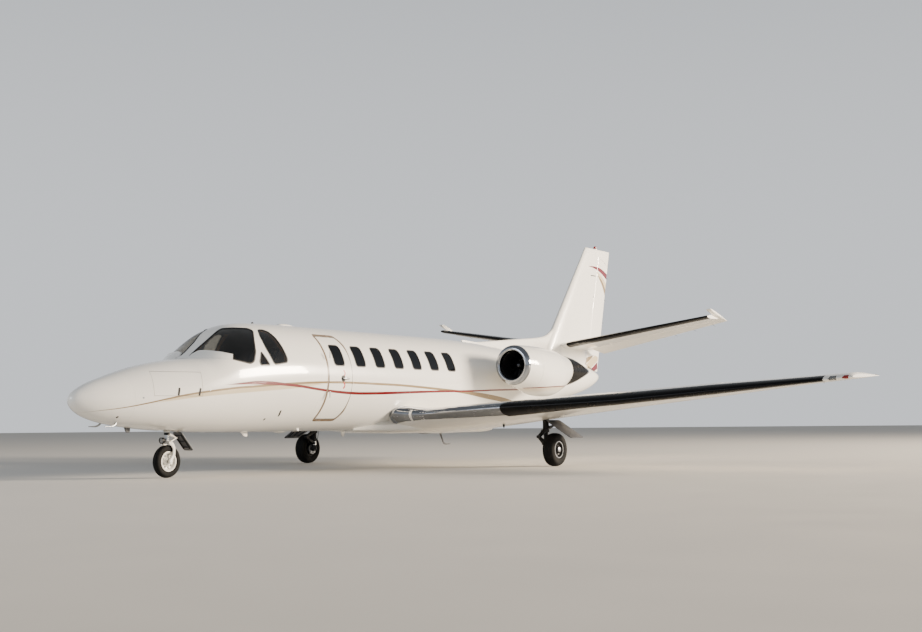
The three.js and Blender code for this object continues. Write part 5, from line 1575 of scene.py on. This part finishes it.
def link_pair(top, apex, foot, half, narrow, size):
    """Two hinged links, each of two bars that draw together towards the pin they share."""
    parts = []
    for end in (top, foot):
        for sense in (-1, 1):
            start = Vector(end) + Vector((sense * half, 0, 0))
            tip = Vector(apex) + Vector((sense * narrow, 0, 0))
            parts.append(bar("link", start, tip, ACROSS, *size, 0.003))
        pin = Vector((half + size[0], 0, 0))
        parts.append(rod("pin", Vector(end) - pin, Vector(end) + pin, size[1] * 0.55, sides=20))
    pin = Vector((narrow + size[0], 0, 0))
    parts.append(rod("pin", Vector(apex) - pin, Vector(apex) + pin, size[1] * 0.6, sides=20))
    return joined("links", *parts)


nose_at = (0, NOSE_GEAR_Y)
brace_foot, brace_head = (0, NOSE_GEAR_Y + 0.03, 0.705), (0, NOSE_GEAR_Y + 0.148, 1.01)
leg_parts = [collar("cylinder", nose_at, 0.042, 0.63, 1.018), collar("gland", nose_at, 0.049, 0.64, 0.668),
    collar("steering_ring", nose_at, 0.054, 0.7, 0.742), collar("lug_ring", nose_at, 0.05, 0.875, 0.925),
    rod("trunnion", (-0.149, NOSE_GEAR_Y, 0.9), (0.149, NOSE_GEAR_Y, 0.9), 0.026),
    rod("drag_brace", brace_foot, brace_head, 0.016),
    rod("steering_jack", (-0.075, -5.7, 0.721), (0.075, -5.7, 0.721), 0.018)]
finish_piece(joined("nose_strut", *leg_parts), gear_enamel, ["nose_leg"])
run = (0.03, -5.8, 0.98), (0.04, -5.802, 0.86), (0.022, -5.806, 0.74), (0.034, -5.798, 0.655)
hose = [(*point, 0.009, 0.009) for point in run]
finish_piece(swept("nose_hose", hose, ACROSS, square=1), seal_rubber)

knots = [(-5.768, 0.488, 0.019, 0.06), (-5.722, 0.455, 0.019, 0.056), (-5.692, 0.392, 0.018, 0.048),
    (-5.694, 0.327, 0.018, 0.046), (-5.724, 0.268, 0.018, 0.047), (-5.757, 0.2266, 0.02, 0.048)]
fork_arm = swept("fork_arm", [(0.0745, *knot) for knot in knots], ACROSS)
axle_lug = rod("axle_lug", (0.065, NOSE_GEAR_Y, NOSE_AXLE), (0.085, NOSE_GEAR_Y, NOSE_AXLE), 0.033)
fork_parts = [mirrored(fork_arm, "fork_arm_right"), fork_arm, mirrored(axle_lug, "lug"), axle_lug,
    swept("crown", [(-0.084, -5.76, 0.486, 0.062, 0.03), (0, -5.748, 0.49, 0.08, 0.04),
        (0.084, -5.76, 0.486, 0.062, 0.03)], AFT),
    collar("crown_boss", nose_at, 0.037, 0.466, 0.512),
    link_pair((0, -5.727, 0.604), (0, -5.588, 0.548), (0, -5.716, 0.494), 0.026, 0.009,
        (0.01, 0.017))]
finish_piece(joined("nose_fork_casting", *fork_parts), gear_enamel, ["nose_fork"], "nose_fork_body")
piston = [rod("tube", (0, NOSE_GEAR_Y, 0.47), (0, NOSE_GEAR_Y, 0.624), 0.027, sides=48)]
NUTS = (-0.093, -0.084, 0.026, 6), (0.084, 0.093, 0.026, 6)
for start, end, radius, sides in ((-0.092, 0.092, 0.019, 32), *NUTS):
    ends = [(x, NOSE_GEAR_Y, NOSE_AXLE) for x in (start, end)]
    piston.append(rod("axle", *ends, radius, sides=sides))
finish_piece(joined("nose_piston", *piston), chrome, body="nose_fork_body")
finish_piece(collar("nose_wiper_collar", nose_at, 0.041, 0.59, 0.624), black_enamel_and_painted_shade, body="nose_fork_body")
LAMP = (0, -5.8, 0.52)
cup = [(0.006, 0.0), (0.026, 0.004), (0.04, 0.022), (0.043, 0.05), (0.043, 0.066), (0.039, 0.066),
       (0.038, 0.052), (0.034, 0.026), (0.006, 0.012)]
finish_piece(turned("taxi_lamp_cup", cup, LAMP, (0, -1, -0.1), 40), black_enamel_and_painted_shade, body="nose_fork_body")
lens = [(AXIS, 0.052), (0.0375, 0.052), (0.0375, 0.057), (0.024, 0.062), (AXIS, 0.064)]
finish_piece(turned("taxi_lamp_lens", lens, LAMP, (0, -1, -0.1), 40), clear_lens, body="nose_fork_body",
    slot="polished_aluminium")

# %% Nose gear door
def plate(name, corners, thick, corner, steps=6):
    """A flat panel through four corners taken in turn, with the corners rounded."""
    a, b, _, d = (Vector(p) for p in corners)
    u = (b - a).normalized()
    v = (d - a - u * (d - a).dot(u)).normalized()
    outline = round_corners([((Vector(p) - a).dot(u), (Vector(p) - a).dot(v)) for p in corners], corner,
        steps)
    square = u.cross(v) * (thick / 2)
    return soften(loft(name, [[a + u * p.x + v * p.y + side * square for p in outline] for side in (-1, 1)]),
                  thick * 0.2)


door_corners = [(-0.09, -5.567, 0.626), (0.09, -5.567, 0.626), (0.09, -5.336, 0.37), (-0.09, -5.336, 0.37)]
finish_piece(plate("nose_door_panel", door_corners, 0.012, 0.03), grey_enamel_and_painted_shade, ["nose_gear_door"])
rib = [(x, y - 0.012, z - 0.012) for x in (-0.06, 0.06) for y, z in ((-5.545, 0.601), (-5.365, 0.402))]
ribs = [bar("rib", rib[k], rib[k + 1], ACROSS, 0.016, 0.016, 0.003) for k in (0, 2)]
ribs += [bar("rib", (-0.06, y, z), (0.06, y, z), UP, 0.012, 0.014, 0.003)
         for y, z in ((-5.54, 0.582), (-5.465, 0.499), (-5.39, 0.416))]
finish_piece(joined("nose_door_ribs", *ribs), black_enamel_and_painted_shade)
arm_bars = [swept("door_arm", [(0, -5.61, 0.678, 0.02, 0.018), (0, -5.534, 0.612, 0.02, 0.024),
    (0, -5.455, 0.548, 0.02, 0.026), (0, -5.378, 0.49, 0.022, 0.016)], ACROSS),
    bar("fitting", (0, -5.612, 0.676), (0, -5.585, 0.652), ACROSS, 0.06, 0.03, 0.004),
    bar("foot", (0, -5.4, 0.5), (0, -5.392, 0.436), ACROSS, 0.03, 0.02, 0.004)]
finish_piece(joined("nose_door_arm", *arm_bars), gear_enamel)

# %% Main gear
def main_gear(side):
    """One leg, drawn on the port side and mirrored for the other."""
    y, x = GEAR_Y, LEG_X
    at = (x, y)
    leg = [collar("cylinder", at, 0.052, 0.562, 0.903), collar("sleeve", at, 0.0385, 0.4, 0.57),
        collar("gland", at, 0.058, 0.556, 0.6), collar("lug_ring", at, 0.06, 0.76, 0.8),
        rod("jack", (x - 0.02, y, 0.852), (x - 0.27, y, 0.884), 0.028),
        link_pair((x, y - 0.048, 0.585), (x, y - 0.232, 0.488), (x, y - 0.04, 0.372), 0.03, 0.012,
            (0.02, 0.04)),
        rod("axle_block", (x - 0.022, y, MAIN_AXLE), (x + 0.038, y, MAIN_AXLE), 0.048),
        collar("foot_block", at, 0.042, 0.262, 0.34)]
    piston = [rod("piston", (x, y, 0.335), (x, y, 0.56), 0.036, sides=48),
        rod("jack_rod", (x - 0.27, y, 0.884), (x - 0.42, y, 0.903), 0.015),
        rod("axle", (x, y, MAIN_AXLE), (x + 0.225, y, MAIN_AXLE), 0.024)]
    discs = [(0.03, 0.04), (0.096, 0.04), (0.1, 0.044), (0.1, 0.05), (0.09, 0.052), (0.09, 0.056),
        (0.1, 0.058), (0.1, 0.064), (0.09, 0.066), (0.09, 0.07), (0.1, 0.072), (0.1, 0.082), (0.03, 0.084)]
    brake = [turned("brake_discs", discs, (x, y, MAIN_AXLE), ACROSS, 64)]
    for t in circle(5):
        foot = Vector((x + 0.024, y + 0.072 * cos(t), MAIN_AXLE + 0.072 * sin(t)))
        brake.append(rod("brake_cylinder", foot, foot + Vector((0.02, 0, 0)), 0.018, sides=24))
    run = [(-0.03, 0.055, 0.86), (-0.05, 0.075, 0.7), (-0.02, 0.085, 0.52), (0.01, 0.07, 0.38),
        (0.035, 0.06, 0.3)]
    hose = [(x + out, y + aft, up, 0.01, 0.01) for out, aft, up in run]
    # The main legs are white or grey in fact; the black enamel on them is painted shade.
    pieces = [(joined("main_strut_" + side, *leg), black_enamel_and_painted_shade, [f"main_leg_{side}"]),
              (joined("main_piston_" + side, *piston), chrome, []),
              (joined("main_brake_" + side, *brake), machined_steel, []),
              (swept("main_brake_hose_" + side, hose, AFT, square=1), seal_rubber, [])]
    head, out, down = Vector((x + 0.12, y + 0.015, 0.757)), cos(radians(32)), sin(radians(32))
    foot = head + Vector((out, 0, -down)) * 0.545
    half = Vector((0, 0.22, 0))
    corners = [head - half, foot - half, foot + half, head + half]
    # The door panel's dark grey is partly its paint and partly painted shade.
    pieces.append((plate("main_door_panel_" + side, corners, 0.013, 0.045), door_grey_and_painted_shade,
                   [f"main_gear_door_{side}"]))
    below = Vector((-down, 0, -out)) * 0.014
    frames = []
    for dy in (-0.14, 0, 0.14):
        ends = [head.lerp(foot, share) + below + Vector((0, dy, 0)) for share in (0.08, 0.92)]
        frames.append(bar("rib", *ends, AFT, 0.03, 0.016, 0.004))
    for share in (0.15, 0.5, 0.85):
        ends = [head.lerp(foot, share) + below + Vector((0, dy, 0)) for dy in (-0.17, 0.17)]
        frames.append(bar("rib", *ends, ACROSS, 0.026, 0.014, 0.004))
    frames.append(swept("link", [(x + 0.03, y + 0.08, 0.64, 0.06, 0.06),
        (x + 0.09, y + 0.05, 0.655, 0.045, 0.045), (x + 0.17, y + 0.02, 0.7, 0.03, 0.03)], AFT, square=1))
    # The ribs and link are gloss white in fact; their grey is painted shade.
    pieces.append((joined("main_door_ribs_" + side, *frames), grey_enamel_and_painted_shade, []))
    for piece, material, nodes in pieces:
        slot = "gloss_white" if material is grey_enamel_and_painted_shade else None
        finish_piece(piece if side == "left" else flipped(piece), material, nodes, slot=slot)


for side in ("left", "right"):
    main_gear(side)

# %% [markdown]
# ## Windscreen air fairings
# Below each front pane a scoop blows warm air up over the glass to clear rain and ice. It is a curved
# wedge that stands off the skin, with its slot along the top. Each section starts where a level line
# of sight meets the skin, so the wedge follows the nose wherever the nose's shape goes.

# %% Air fairings
def skin_hit(along, z, view):
    """Where a level line of sight, set off sideways by along, first meets the skin."""
    out = np.array([sin(view), -cos(view), 0.0])
    sideways = np.array([cos(view), sin(view), 0.0])
    line = np.arange(5.2, 2.5, -0.004)[:, None] * out + along * sideways + np.array([0, 0, z])
    return Vector(line[np.argmax(hull_level(line) < 0)])


LIP = smooth_through([(-3.436, 1.7, 0.006), (-3.265, 1.776, 0.042), (-3.02, 1.756, 0.042),
    (-2.805, 1.715, 0.036)])
FOOT = smooth_through([(-3.436, 1.668), (-3.25, 1.645), (-3.05, 1.635), (-2.805, 1.625)])
look = Vector((sin(SCREEN_VIEW), -cos(SCREEN_VIEW), 0))
scoop_rings = []
for along in spread(-3.436, -2.805, 0.035):
    (high, proud), (low,) = LIP(along), FOOT(along)
    back, foot = skin_hit(along, high, SCREEN_VIEW), skin_hit(along, low, SCREEN_VIEW)
    edge = back + look * proud
    belly = foot.lerp(edge, 0.5) + look * (proud * 0.35)
    scoop_rings.append([foot - look * 0.006, foot.lerp(belly, 0.5) + look * 0.003, belly,
        edge - Vector((0, 0, 0.006)), edge, edge - look * 0.006, back - look * 0.006 + Vector((0, 0, -0.01))])
scoop = loft("air_fairing_left", scoop_rings)
scoop.data.materials.append(plain_white)
scoop.data.materials.append(black_enamel_and_painted_shade)
# The end faces take black enamel: painted shade for the open inside of the scoop.
for face in scoop.data.polygons:
    face.material_index = 1 if len(face.vertices) > 4 else 0
both_sides(scoop, plain_white)

# %% [markdown]
# ## Aerials, drains and latches
# Many small things stand on a real skin: blade aerials under the belly, a dome on the roof, latches
# at the nose doors, vents and a handle. A blade is a short wing section, and anything that lies flat
# is cut from a thin layer of the fuselage's own skin, so that it curves with it.

# %% Aerials
def aerial(name, x, foot, tip, thick=0.16):
    """A streamlined blade between two fore-and-aft lines, each (front, back, height)."""
    rings = []
    for share in (0, 0.35, 0.7, 0.92, 1):
        front, back, z = (between(a, b, share) for a, b in zip(foot, tip))
        shrink = 1 if share < 0.9 else (0.9 if share < 1 else 0.55)
        chord, middle = (back - front) * shrink, (front + back) / 2
        rings.append([Vector((x + chord * up, middle + chord * (aft - 0.5), z))
            for aft, up in airfoil(thick, 0, 12)])
    return loft(name, rings)


def dome(name, centre, length, width, height, sense=1):
    """A low streamlined blister that fades into the skin."""
    rings = []
    for k in range(13):
        t = k / 12
        swell = sqrt(max(0.004, 1 - (2 * t ** 0.8 - 1) ** 2))
        turns = np.pi * np.arange(17) / 16
        ring = [Vector((centre[0] + width / 2 * swell * cos(a), centre[1] + length * (t - 0.5),
            centre[2] + sense * height * swell * sin(a))) for a in turns]
        drop = Vector((0, 0, -sense * 0.02))
        rings.append(ring + [ring[-1] + drop, ring[0] + drop])
    return loft(name, rings)


for name, material, solid in (
    ("roof_dome", plain_white, dome("dome", (0, -3.335, 2.238), 0.37, 0.13, 0.036)),
    ("roof_stub", black_enamel_and_painted_shade, aerial("stub", 0, (-4.09, -4.03, 2.225), (-4.075, -4.035, 2.262), 0.5)),
    ("nose_blade", grey_enamel_and_painted_shade, aerial("blade", 0, (-6.535, -6.42, 0.705), (-6.5, -6.425, 0.63))),
    ("belly_blade", plain_white, aerial("blade", 0, (-4.31, -4.16, 0.625), (-4.235, -4.15, 0.55))),
    ("belly_disc", plain_white, dome("disc", (0, -3.446, 0.619), 0.24, 0.16, 0.026, -1)),
    ("centre_blade", plain_white, aerial("blade", 0, (-1.985, -1.875, 0.615), (-1.95, -1.885, 0.521))),
    ("belly_strip", black_enamel_and_painted_shade, dome("strip", (0, 0.43, 0.562), 0.54, 0.14, 0.02, -1)),
    ("drain_mast", grey_enamel_and_painted_shade, swept("mast", [
        (0, 0.813, 0.575, 0.016, 0.046), (0, 0.89, 0.452, 0.014, 0.04), (0, 0.951, 0.362, 0.014, 0.034),
        (0, 1.03, 0.35, 0.012, 0.024), (0, 1.155, 0.356, 0.01, 0.014)], ACROSS, square=1)),
    ("jack_fitting", black_enamel_and_painted_shade, aerial("jack", 1.98, (-0.2, -0.1, 0.8), (-0.17, -0.12, 0.64), 0.3)),
):
    solid.name = name
    finish_piece(solid, material, sharp=40)
both_sides(aerial("side_blade_left", 0.258, (-3.36, -3.29, 0.668), (-3.335, -3.295, 0.625)), plain_white)

# %% Marks and fittings on the skin
def on_skin(name, outlines, proud, material, body="airframe", both=False):
    """Thin patches of the skin's own shape, cut by outlines seen from the side."""
    stations = [p[0] for outline in outlines for p in outline]
    layer = hull_layer(name, min(stations) - 0.05, max(stations) + 0.05, -proud, 0.003)
    spaces = [slot_through("patch", outline, SIDE_VIEW, 0.02, 1.0) for outline in outlines]
    carve(layer, joined("patches", *spaces), "INTERSECT")
    (both_sides if both else finish_piece)(layer, material, body=body)


def disc_outline(y, z, radius, count=20):
    return [(y + radius * cos(t), z + radius * sin(t)) for t in circle(count)]


def strip_outline(start, end, width):
    """A long narrow outline with round ends between two points."""
    a, b = Vector(start), Vector(end)
    run = (b - a).normalized() * (width / 2)
    side = Vector((-run.y, run.x))
    return round_corners([a - run + side, a - run - side, b + run - side, b + run + side], width * 0.45, 4)


def arc_outline(y, z, radius, start, end, width):
    turns = [radians(start + (end - start) * k / 8) for k in range(9)]
    outer, inner = [[(y + r * cos(t), z + r * sin(t)) for t in turns]
        for r in (radius + width / 2, radius - width / 2)]
    return outer + inner[::-1]


latches = [strip_outline((y, 1.215), (y - 0.02, 1.135), 0.026) for y in (-6.072, -5.752)]
on_skin("nose_latches_left", latches, 0.004, black_enamel_and_painted_shade, "baggage_door_SIDE_body", True)
keys = [disc_outline(-6.595, 1.089, 0.012), disc_outline(-5.6, 1.203, 0.012)]
on_skin("key_locks_left", keys, 0.002, machined_steel, both=True)
vents = [strip_outline((-4.125, 0.915), (-4.105, 0.855), 0.03), disc_outline(-4.35, 0.8, 0.016),
         disc_outline(-6.87, 0.835, 0.013), strip_outline((-1.3, 0.735), (-1.22, 0.735), 0.022)]
on_skin("side_vents_left", vents, 0.0015, black_enamel_and_painted_shade, both=True)
on_skin("door_handle_plate", [disc_outline(-2.898, 1.42, 0.05, 32)], 0.002, black_enamel_and_painted_shade,
    body="cabin_door_body")
arcs = [arc_outline(-2.9, z, 0.045, -75, 75, 0.026) for z in (1.502, 1.314)]
on_skin("door_marks", arcs, 0.001, mark_paint, body="cabin_door_body")
handle = swept("handle", [(0.826, -2.915, 1.42, 0.022, 0.03), (0.836, -2.87, 1.42, 0.02, 0.03),
    (0.834, -2.8, 1.418, 0.016, 0.026), (0.828, -2.77, 1.417, 0.014, 0.02)], ACROSS)
finish_piece(handle, machined_steel, body="cabin_door_body")
hinge_x, hinge_y = DOOR["hinge_x"] - 0.001, DOOR["front"] - 0.004
hinges = [rod("hinge", (hinge_x, hinge_y, z), (hinge_x, hinge_y, z + 0.1), 0.01, sides=20)
    for z in (1.12, 1.72)]
finish_piece(joined("door_hinges", *hinges), gear_enamel)
probe = [(0.15, -6.79, 0.765, 0.02, 0.03), (0.16, -6.84, 0.725, 0.016, 0.026),
         (0.16, -6.9, 0.715, 0.018, 0.018), (0.16, -6.99, 0.715, 0.012, 0.012)]
both_sides(swept("pitot_left", probe, ACROSS, square=1), machined_steel)

# %% [markdown]
# ## Lamps, wicks and tail fittings
# A red lens shows at the port wing tip and a green one at the other, each let into the leading edge
# beside a landing lamp behind clear plastic. Static wicks, thin carbon rods on the trailing edges,
# bleed charge into the air. They ride on the moving surfaces that carry them.

# %% Lamps
for side, lens_material in (("left", red_lens), ("right", green_lens)):
    for name, start, end, reach, material in (("position_lamp", 7.8, 7.885, 0.06, lens_material),
            ("landing_lamp", 7.612, 7.7, 0.075, clear_lens), ("lamp_frame", 7.6, 7.712, 0.083, black_enamel_and_painted_shade)):
        lamp = nose_skin(f"{name}_{side}", WING, spread(start, end, 0.02),
            [(start, reach, reach), (end, reach * 0.9, reach * 0.9)],
            0.0012 if name == "lamp_frame" else 0.0028, 0.02)
        finish_piece(lamp if side == "left" else flipped(lamp), material, sharp=40)
dome_outline = [(AXIS, 4.504), (0.036, 4.504), (0.037, 4.53), (0.034, 4.55), (0.026, 4.564), (0.014, 4.571),
    (AXIS, 4.573)]
finish_piece(turned("beacon_lens", dome_outline, (0, 6.8, 0), UP, 48), red_lens, ["beacon"])
finish_piece(collar("beacon_base", (0, 6.8), 0.043, 4.494, 4.512), plain_white)

# %% Static wicks and hinge fairings
def wick(foot, length, droop=0.0):
    end = Vector(foot) + Vector((0, length, -droop))
    return joined("wick", rod("base", foot, Vector(foot).lerp(end, 0.25), 0.007, 0.005, 12),
                  rod("tip", Vector(foot).lerp(end, 0.25), end, 0.003, 0.002, 8))


aileron_wicks = [wick(wing_ring(WING, x)[0] - Vector((0, 0.01, 0)), 0.14, 0.01)
    for x in (6.15, 6.6, 7.05, 7.38)]
both_sides(joined("aileron_wicks_left", *aileron_wicks), black_enamel_and_painted_shade, body="aileron_SIDE_body")
elevator_wicks = [wick(wing_ring(STAB, x)[0] - Vector((0, 0.01, 0)), 0.13) for x in (2.05, 2.5, 2.95)]
elevator_wicks = joined("elevator_wicks_left", *elevator_wicks)
elevator_wicks.data.transform(turn @ Matrix.Translation(-inner))
both_sides(elevator_wicks, black_enamel_and_painted_shade, body="elevator_SIDE_body")
rudder_wicks = [wick(fin_ring(z)[0] - Vector((0, 0.01, 0)), 0.09) for z in (2.9, 3.4, 3.9)]
finish_piece(joined("rudder_wicks", *rudder_wicks), black_enamel_and_painted_shade, body="rudder_body")
both_sides(wick(Vector((7.94, 0.5, wing_ring(WING, 7.9)[0].z + 0.01)), 0.12), black_enamel_and_painted_shade)


def fairing(name, centre, length, width, height):
    """A slim teardrop pod along the flow."""
    rings = []
    for k in range(15):
        t = k / 14
        swell = sqrt(max(0.002, 1 - (2 * t ** 0.75 - 1) ** 2))
        rings.append([Vector((x, y, z)) for x, y, z in oval(centre[0], centre[1] + length * (t - 0.5),
            centre[2], width / 2 * swell, height / 2 * swell, 24)])
    return loft(name, rings)


centre = hinge_point(STAB, 0.85, 0.62) - Vector((0, 0.1, 0.045))
pod = fairing("tail_hinge_fairing_left", centre, 0.28, 0.05, 0.07)
both_sides(pod, plain_white)

# %% [markdown]
# ## Seats
# A cabin seat is foam under sewn leather, so its faces belly out between the seams. One seat's pads
# start as boxes with rounded edges, are remeshed evenly and then blown up a little by a cloth
# simulation, and each point may move 22 mm at most. The stitched channels are pressed in afterwards.
# The finished pads are copied to all eight seats; only the hard frames are drawn without simulation.

# %% Seat pads
def puffed(solid, voxel=0.018, frames=20, pressure=4.0, most=0.022):
    """Blows closed pads up by a cloth simulation, with a limit to how far a point moves."""
    remesh = solid.modifiers.new("even", "REMESH")
    remesh.mode, remesh.voxel_size = "VOXEL", voxel
    kept_result(solid)
    start = read(solid.data.vertices, "co")
    cloth = solid.modifiers.new("air", "CLOTH")
    cloth.settings.use_pressure = True
    cloth.settings.uniform_pressure_force = pressure
    cloth.settings.effector_weights.gravity = 0
    cloth.point_cache.frame_end = frames
    for step in range(1, frames + 1):
        bpy.context.scene.frame_set(step)
    kept_result(solid)
    moved = read(solid.data.vertices, "co") - start
    far = np.maximum(1, np.linalg.norm(moved, axis=1, keepdims=True) / most)
    solid.data.vertices.foreach_set("co", (start + moved / far).ravel())
    bpy.context.scene.frame_set(1)
    finer = solid.modifiers.new("finer", "SUBSURF")
    finer.levels = 1
    return kept_result(solid)


SEAT_FLOOR = 0.8703
PADS = [  # a seat that faces the nose: across, along and up ranges, and how round its edges are
    (-0.188, 0.188, -0.238, 0.095, 0.992, 1.15, 0.045), (-0.186, 0.186, 0.142, 0.228, 1.13, 1.6, 0.035),
    (-0.12, 0.12, 0.14, 0.215, 1.645, 1.78, 0.032), (-0.205, -0.16, -0.2, 0.085, 1.205, 1.262, 0.02),
    (0.16, 0.205, -0.2, 0.085, 1.205, 1.262, 0.02),
]
pads = joined("seat_pads", *[soften(box("pad", *ranges), edge, 5) for *ranges, edge in PADS])
puffed(pads)
points, normals = read(pads.data.vertices, "co"), read(pads.data.vertices, "normal")
CHANNEL = 0.006
x, y, z = points.T
large = (np.abs(x) < 0.21) & (z < 1.63) & ~((z > 1.18) & (y < 0.11))
across = np.exp(-((np.abs(x) - 0.118) / 0.009) ** 2)
rows = np.where(y > 0.12, z - 1.18, y + 0.2)
along = np.exp(-((np.mod(rows, 0.115) - 0.0575) / 0.009) ** 2) * (np.abs(x) < 0.118)
pressed = (CHANNEL * np.maximum(across, along) * large)[:, None] * normals
pads.data.vertices.foreach_set("co", (points - pressed).ravel())
print("one seat's pads", triangles(pads.data), "triangles")

# %% Seats in their places
FRAME = [
    (-0.12, 0.12, -0.18, 0.18, SEAT_FLOOR, 0.935, 0.006), (-0.19, 0.19, -0.225, 0.225, 0.932, 0.985, 0.012),
    (-0.175, 0.175, 0.226, 0.246, 0.985, 1.56, 0.009), (-0.206, -0.166, 0.05, 0.08, 0.98, 1.21, 0.008),
    (0.166, 0.206, 0.05, 0.08, 0.98, 1.21, 0.008), (-0.02, 0.02, 0.175, 0.19, 1.6, 1.66, 0.004),
]
hard = joined("seat_frame", *[soften(box("frame", *ranges), edge, 2) for *ranges, edge in FRAME])


def seats(name, solid, places, material, nodes=()):
    """Copies one seat's solid to places of (x, y, faces aft)."""
    copies = []
    for x, y, aft in places:
        copy = twin(solid, "copy")
        spin = Matrix.Rotation(pi if aft else 0, 4, "Z")
        copy.data.transform(Matrix.Translation((x, y, 0)) @ spin)
        copies.append(copy)
    piece = finish_piece(joined(name, *copies), material, nodes, sharp=50)


for side, way in (("left", 1), ("right", -1)):
    cabin_row = [(0.42 * way, -1.9, True), (0.42 * way, -0.9, False), (0.42 * way, 0.25, False)]
    cockpit_row = [(0.34 * way, -4.35, False)]
    for name, row, node in (("cabin", cabin_row, "cabin_seats_"), ("cockpit", cockpit_row, "cockpit_seat_")):
        seats(f"{name}_seat_pads_{side}", pads, row, seat_leather, [node + side])
        seats(f"{name}_seat_frames_{side}", hard, row, panel_plastic)
    rail = [box("rail", x * way - 0.012, x * way + 0.012, -2.1, 0.45, SEAT_FLOOR, 0.893)
        for x in (0.385, 0.455)]
    finish_piece(joined(f"seat_rails_{side}", *rail), machined_steel)
discard(pads)
discard(hard)

# %% [markdown]
# ## Cockpit
# Seen through the glass are the dark glare shield, the displays under it, and the two control yokes.
# The panel and the floor keep their CAD shape with a moulded and a woven finish. Displays are thin
# dark plates with a raised frame, rows of knobs stand below them, and the yokes are bent bars.

# %% Panel, yokes and throttles
for node, material in (("cabin_floor", carpet_pile), ("instrument_panel", panel_plastic),
        ("aft_bulkhead", wall_cloth), ("engine_core_left", burnt_steel), ("engine_core_right", burnt_steel)):
    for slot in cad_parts[node].material_slots:
        slot.material = material
PANEL_FACE = -5.08
frames, screens_on, knobs = [], [], []
for x in (-0.46, -0.25, 0, 0.25, 0.46):
    z, wide, high = (1.42, 0.095, 0.085) if x else (1.44, 0.11, 0.095)
    bezel = box("bezel", x - wide, x + wide, PANEL_FACE, PANEL_FACE + 0.012, z - high, z + high)
    frames.append(soften(bezel, 0.004))
    screens_on.append(box("screen", x - wide + 0.014, x + wide - 0.014, PANEL_FACE, PANEL_FACE + 0.0135,
        z - high + 0.016, z + high - 0.014))
for row in range(3):
    for k in range(10):
        at = Vector((-0.45 + 0.1 * k, PANEL_FACE, 1.29 - 0.055 * row))
        knobs.append(rod("knob", at, at + Vector((0, 0.02, 0)), 0.009, 0.007, 16))
for k in range(8):
    at = Vector((-0.07 + 0.02 * k, -4.78, 1.178))
    knobs.append(rod("knob", at, at + Vector((0, 0, 0.018)), 0.006, 0.006, 12))
finish_piece(joined("display_frames", *frames), panel_plastic)
finish_piece(joined("displays", *screens_on), screen_glass)
finish_piece(joined("panel_knobs", *knobs), black_enamel_and_painted_shade)
yokes = []
for x in (-0.34, 0.34):
    yokes.append(rod("column", (x, PANEL_FACE - 0.01, 1.3), (x, -4.87, 1.31), 0.018))
    horn = [(0.135, -4.86, 1.43, 0.026, 0.03), (0.14, -4.865, 1.35, 0.026, 0.028),
            (0.07, -4.87, 1.3, 0.024, 0.026)]
    knots = [(x - out, *rest) for out, *rest in horn] + [(x, -4.87, 1.306, 0.06, 0.04)]
    yokes.append(swept("horn", knots + [(x + out, *rest) for out, *rest in reversed(horn)], AFT))
for x in (-0.025, 0.025):
    yokes.append(rod("lever", (x, -4.96, 1.17), (x, -4.945, 1.275), 0.006))
    yokes.append(rod("grip", (x - 0.018, -4.944, 1.28), (x + 0.018, -4.944, 1.28), 0.013))
finish_piece(joined("yokes_and_levers", *yokes), black_enamel_and_painted_shade)

# %% Exhaust mixers
for side, x in (("left", ENGINE_X), ("right", -ENGINE_X)):
    cone = [(AXIS, 3.176), (0.11, 3.176), (0.104, 3.23), (0.08, 3.31), (0.045, 3.38), (0.012, 3.415),
            (AXIS, 3.418)]
    inner_ring = [(0.18, 3.176), (0.192, 3.176), (0.186, 3.29), (0.178, 3.29)]
    parts = [turned("cone", cone, (x, 0, EXHAUST_Z), AFT, 48),
             turned("splitter", inner_ring, (x, 0, EXHAUST_Z), AFT, 48)]
    for t in circle(8):
        foot, tip = [Vector((x + r * cos(t), 3.215, EXHAUST_Z + r * sin(t))) for r in (0.095, 0.186)]
        parts.append(bar("strut", foot, tip, AFT, 0.06, 0.008))
    finish_piece(joined(f"exhaust_mixer_{side}", *parts), burnt_steel)
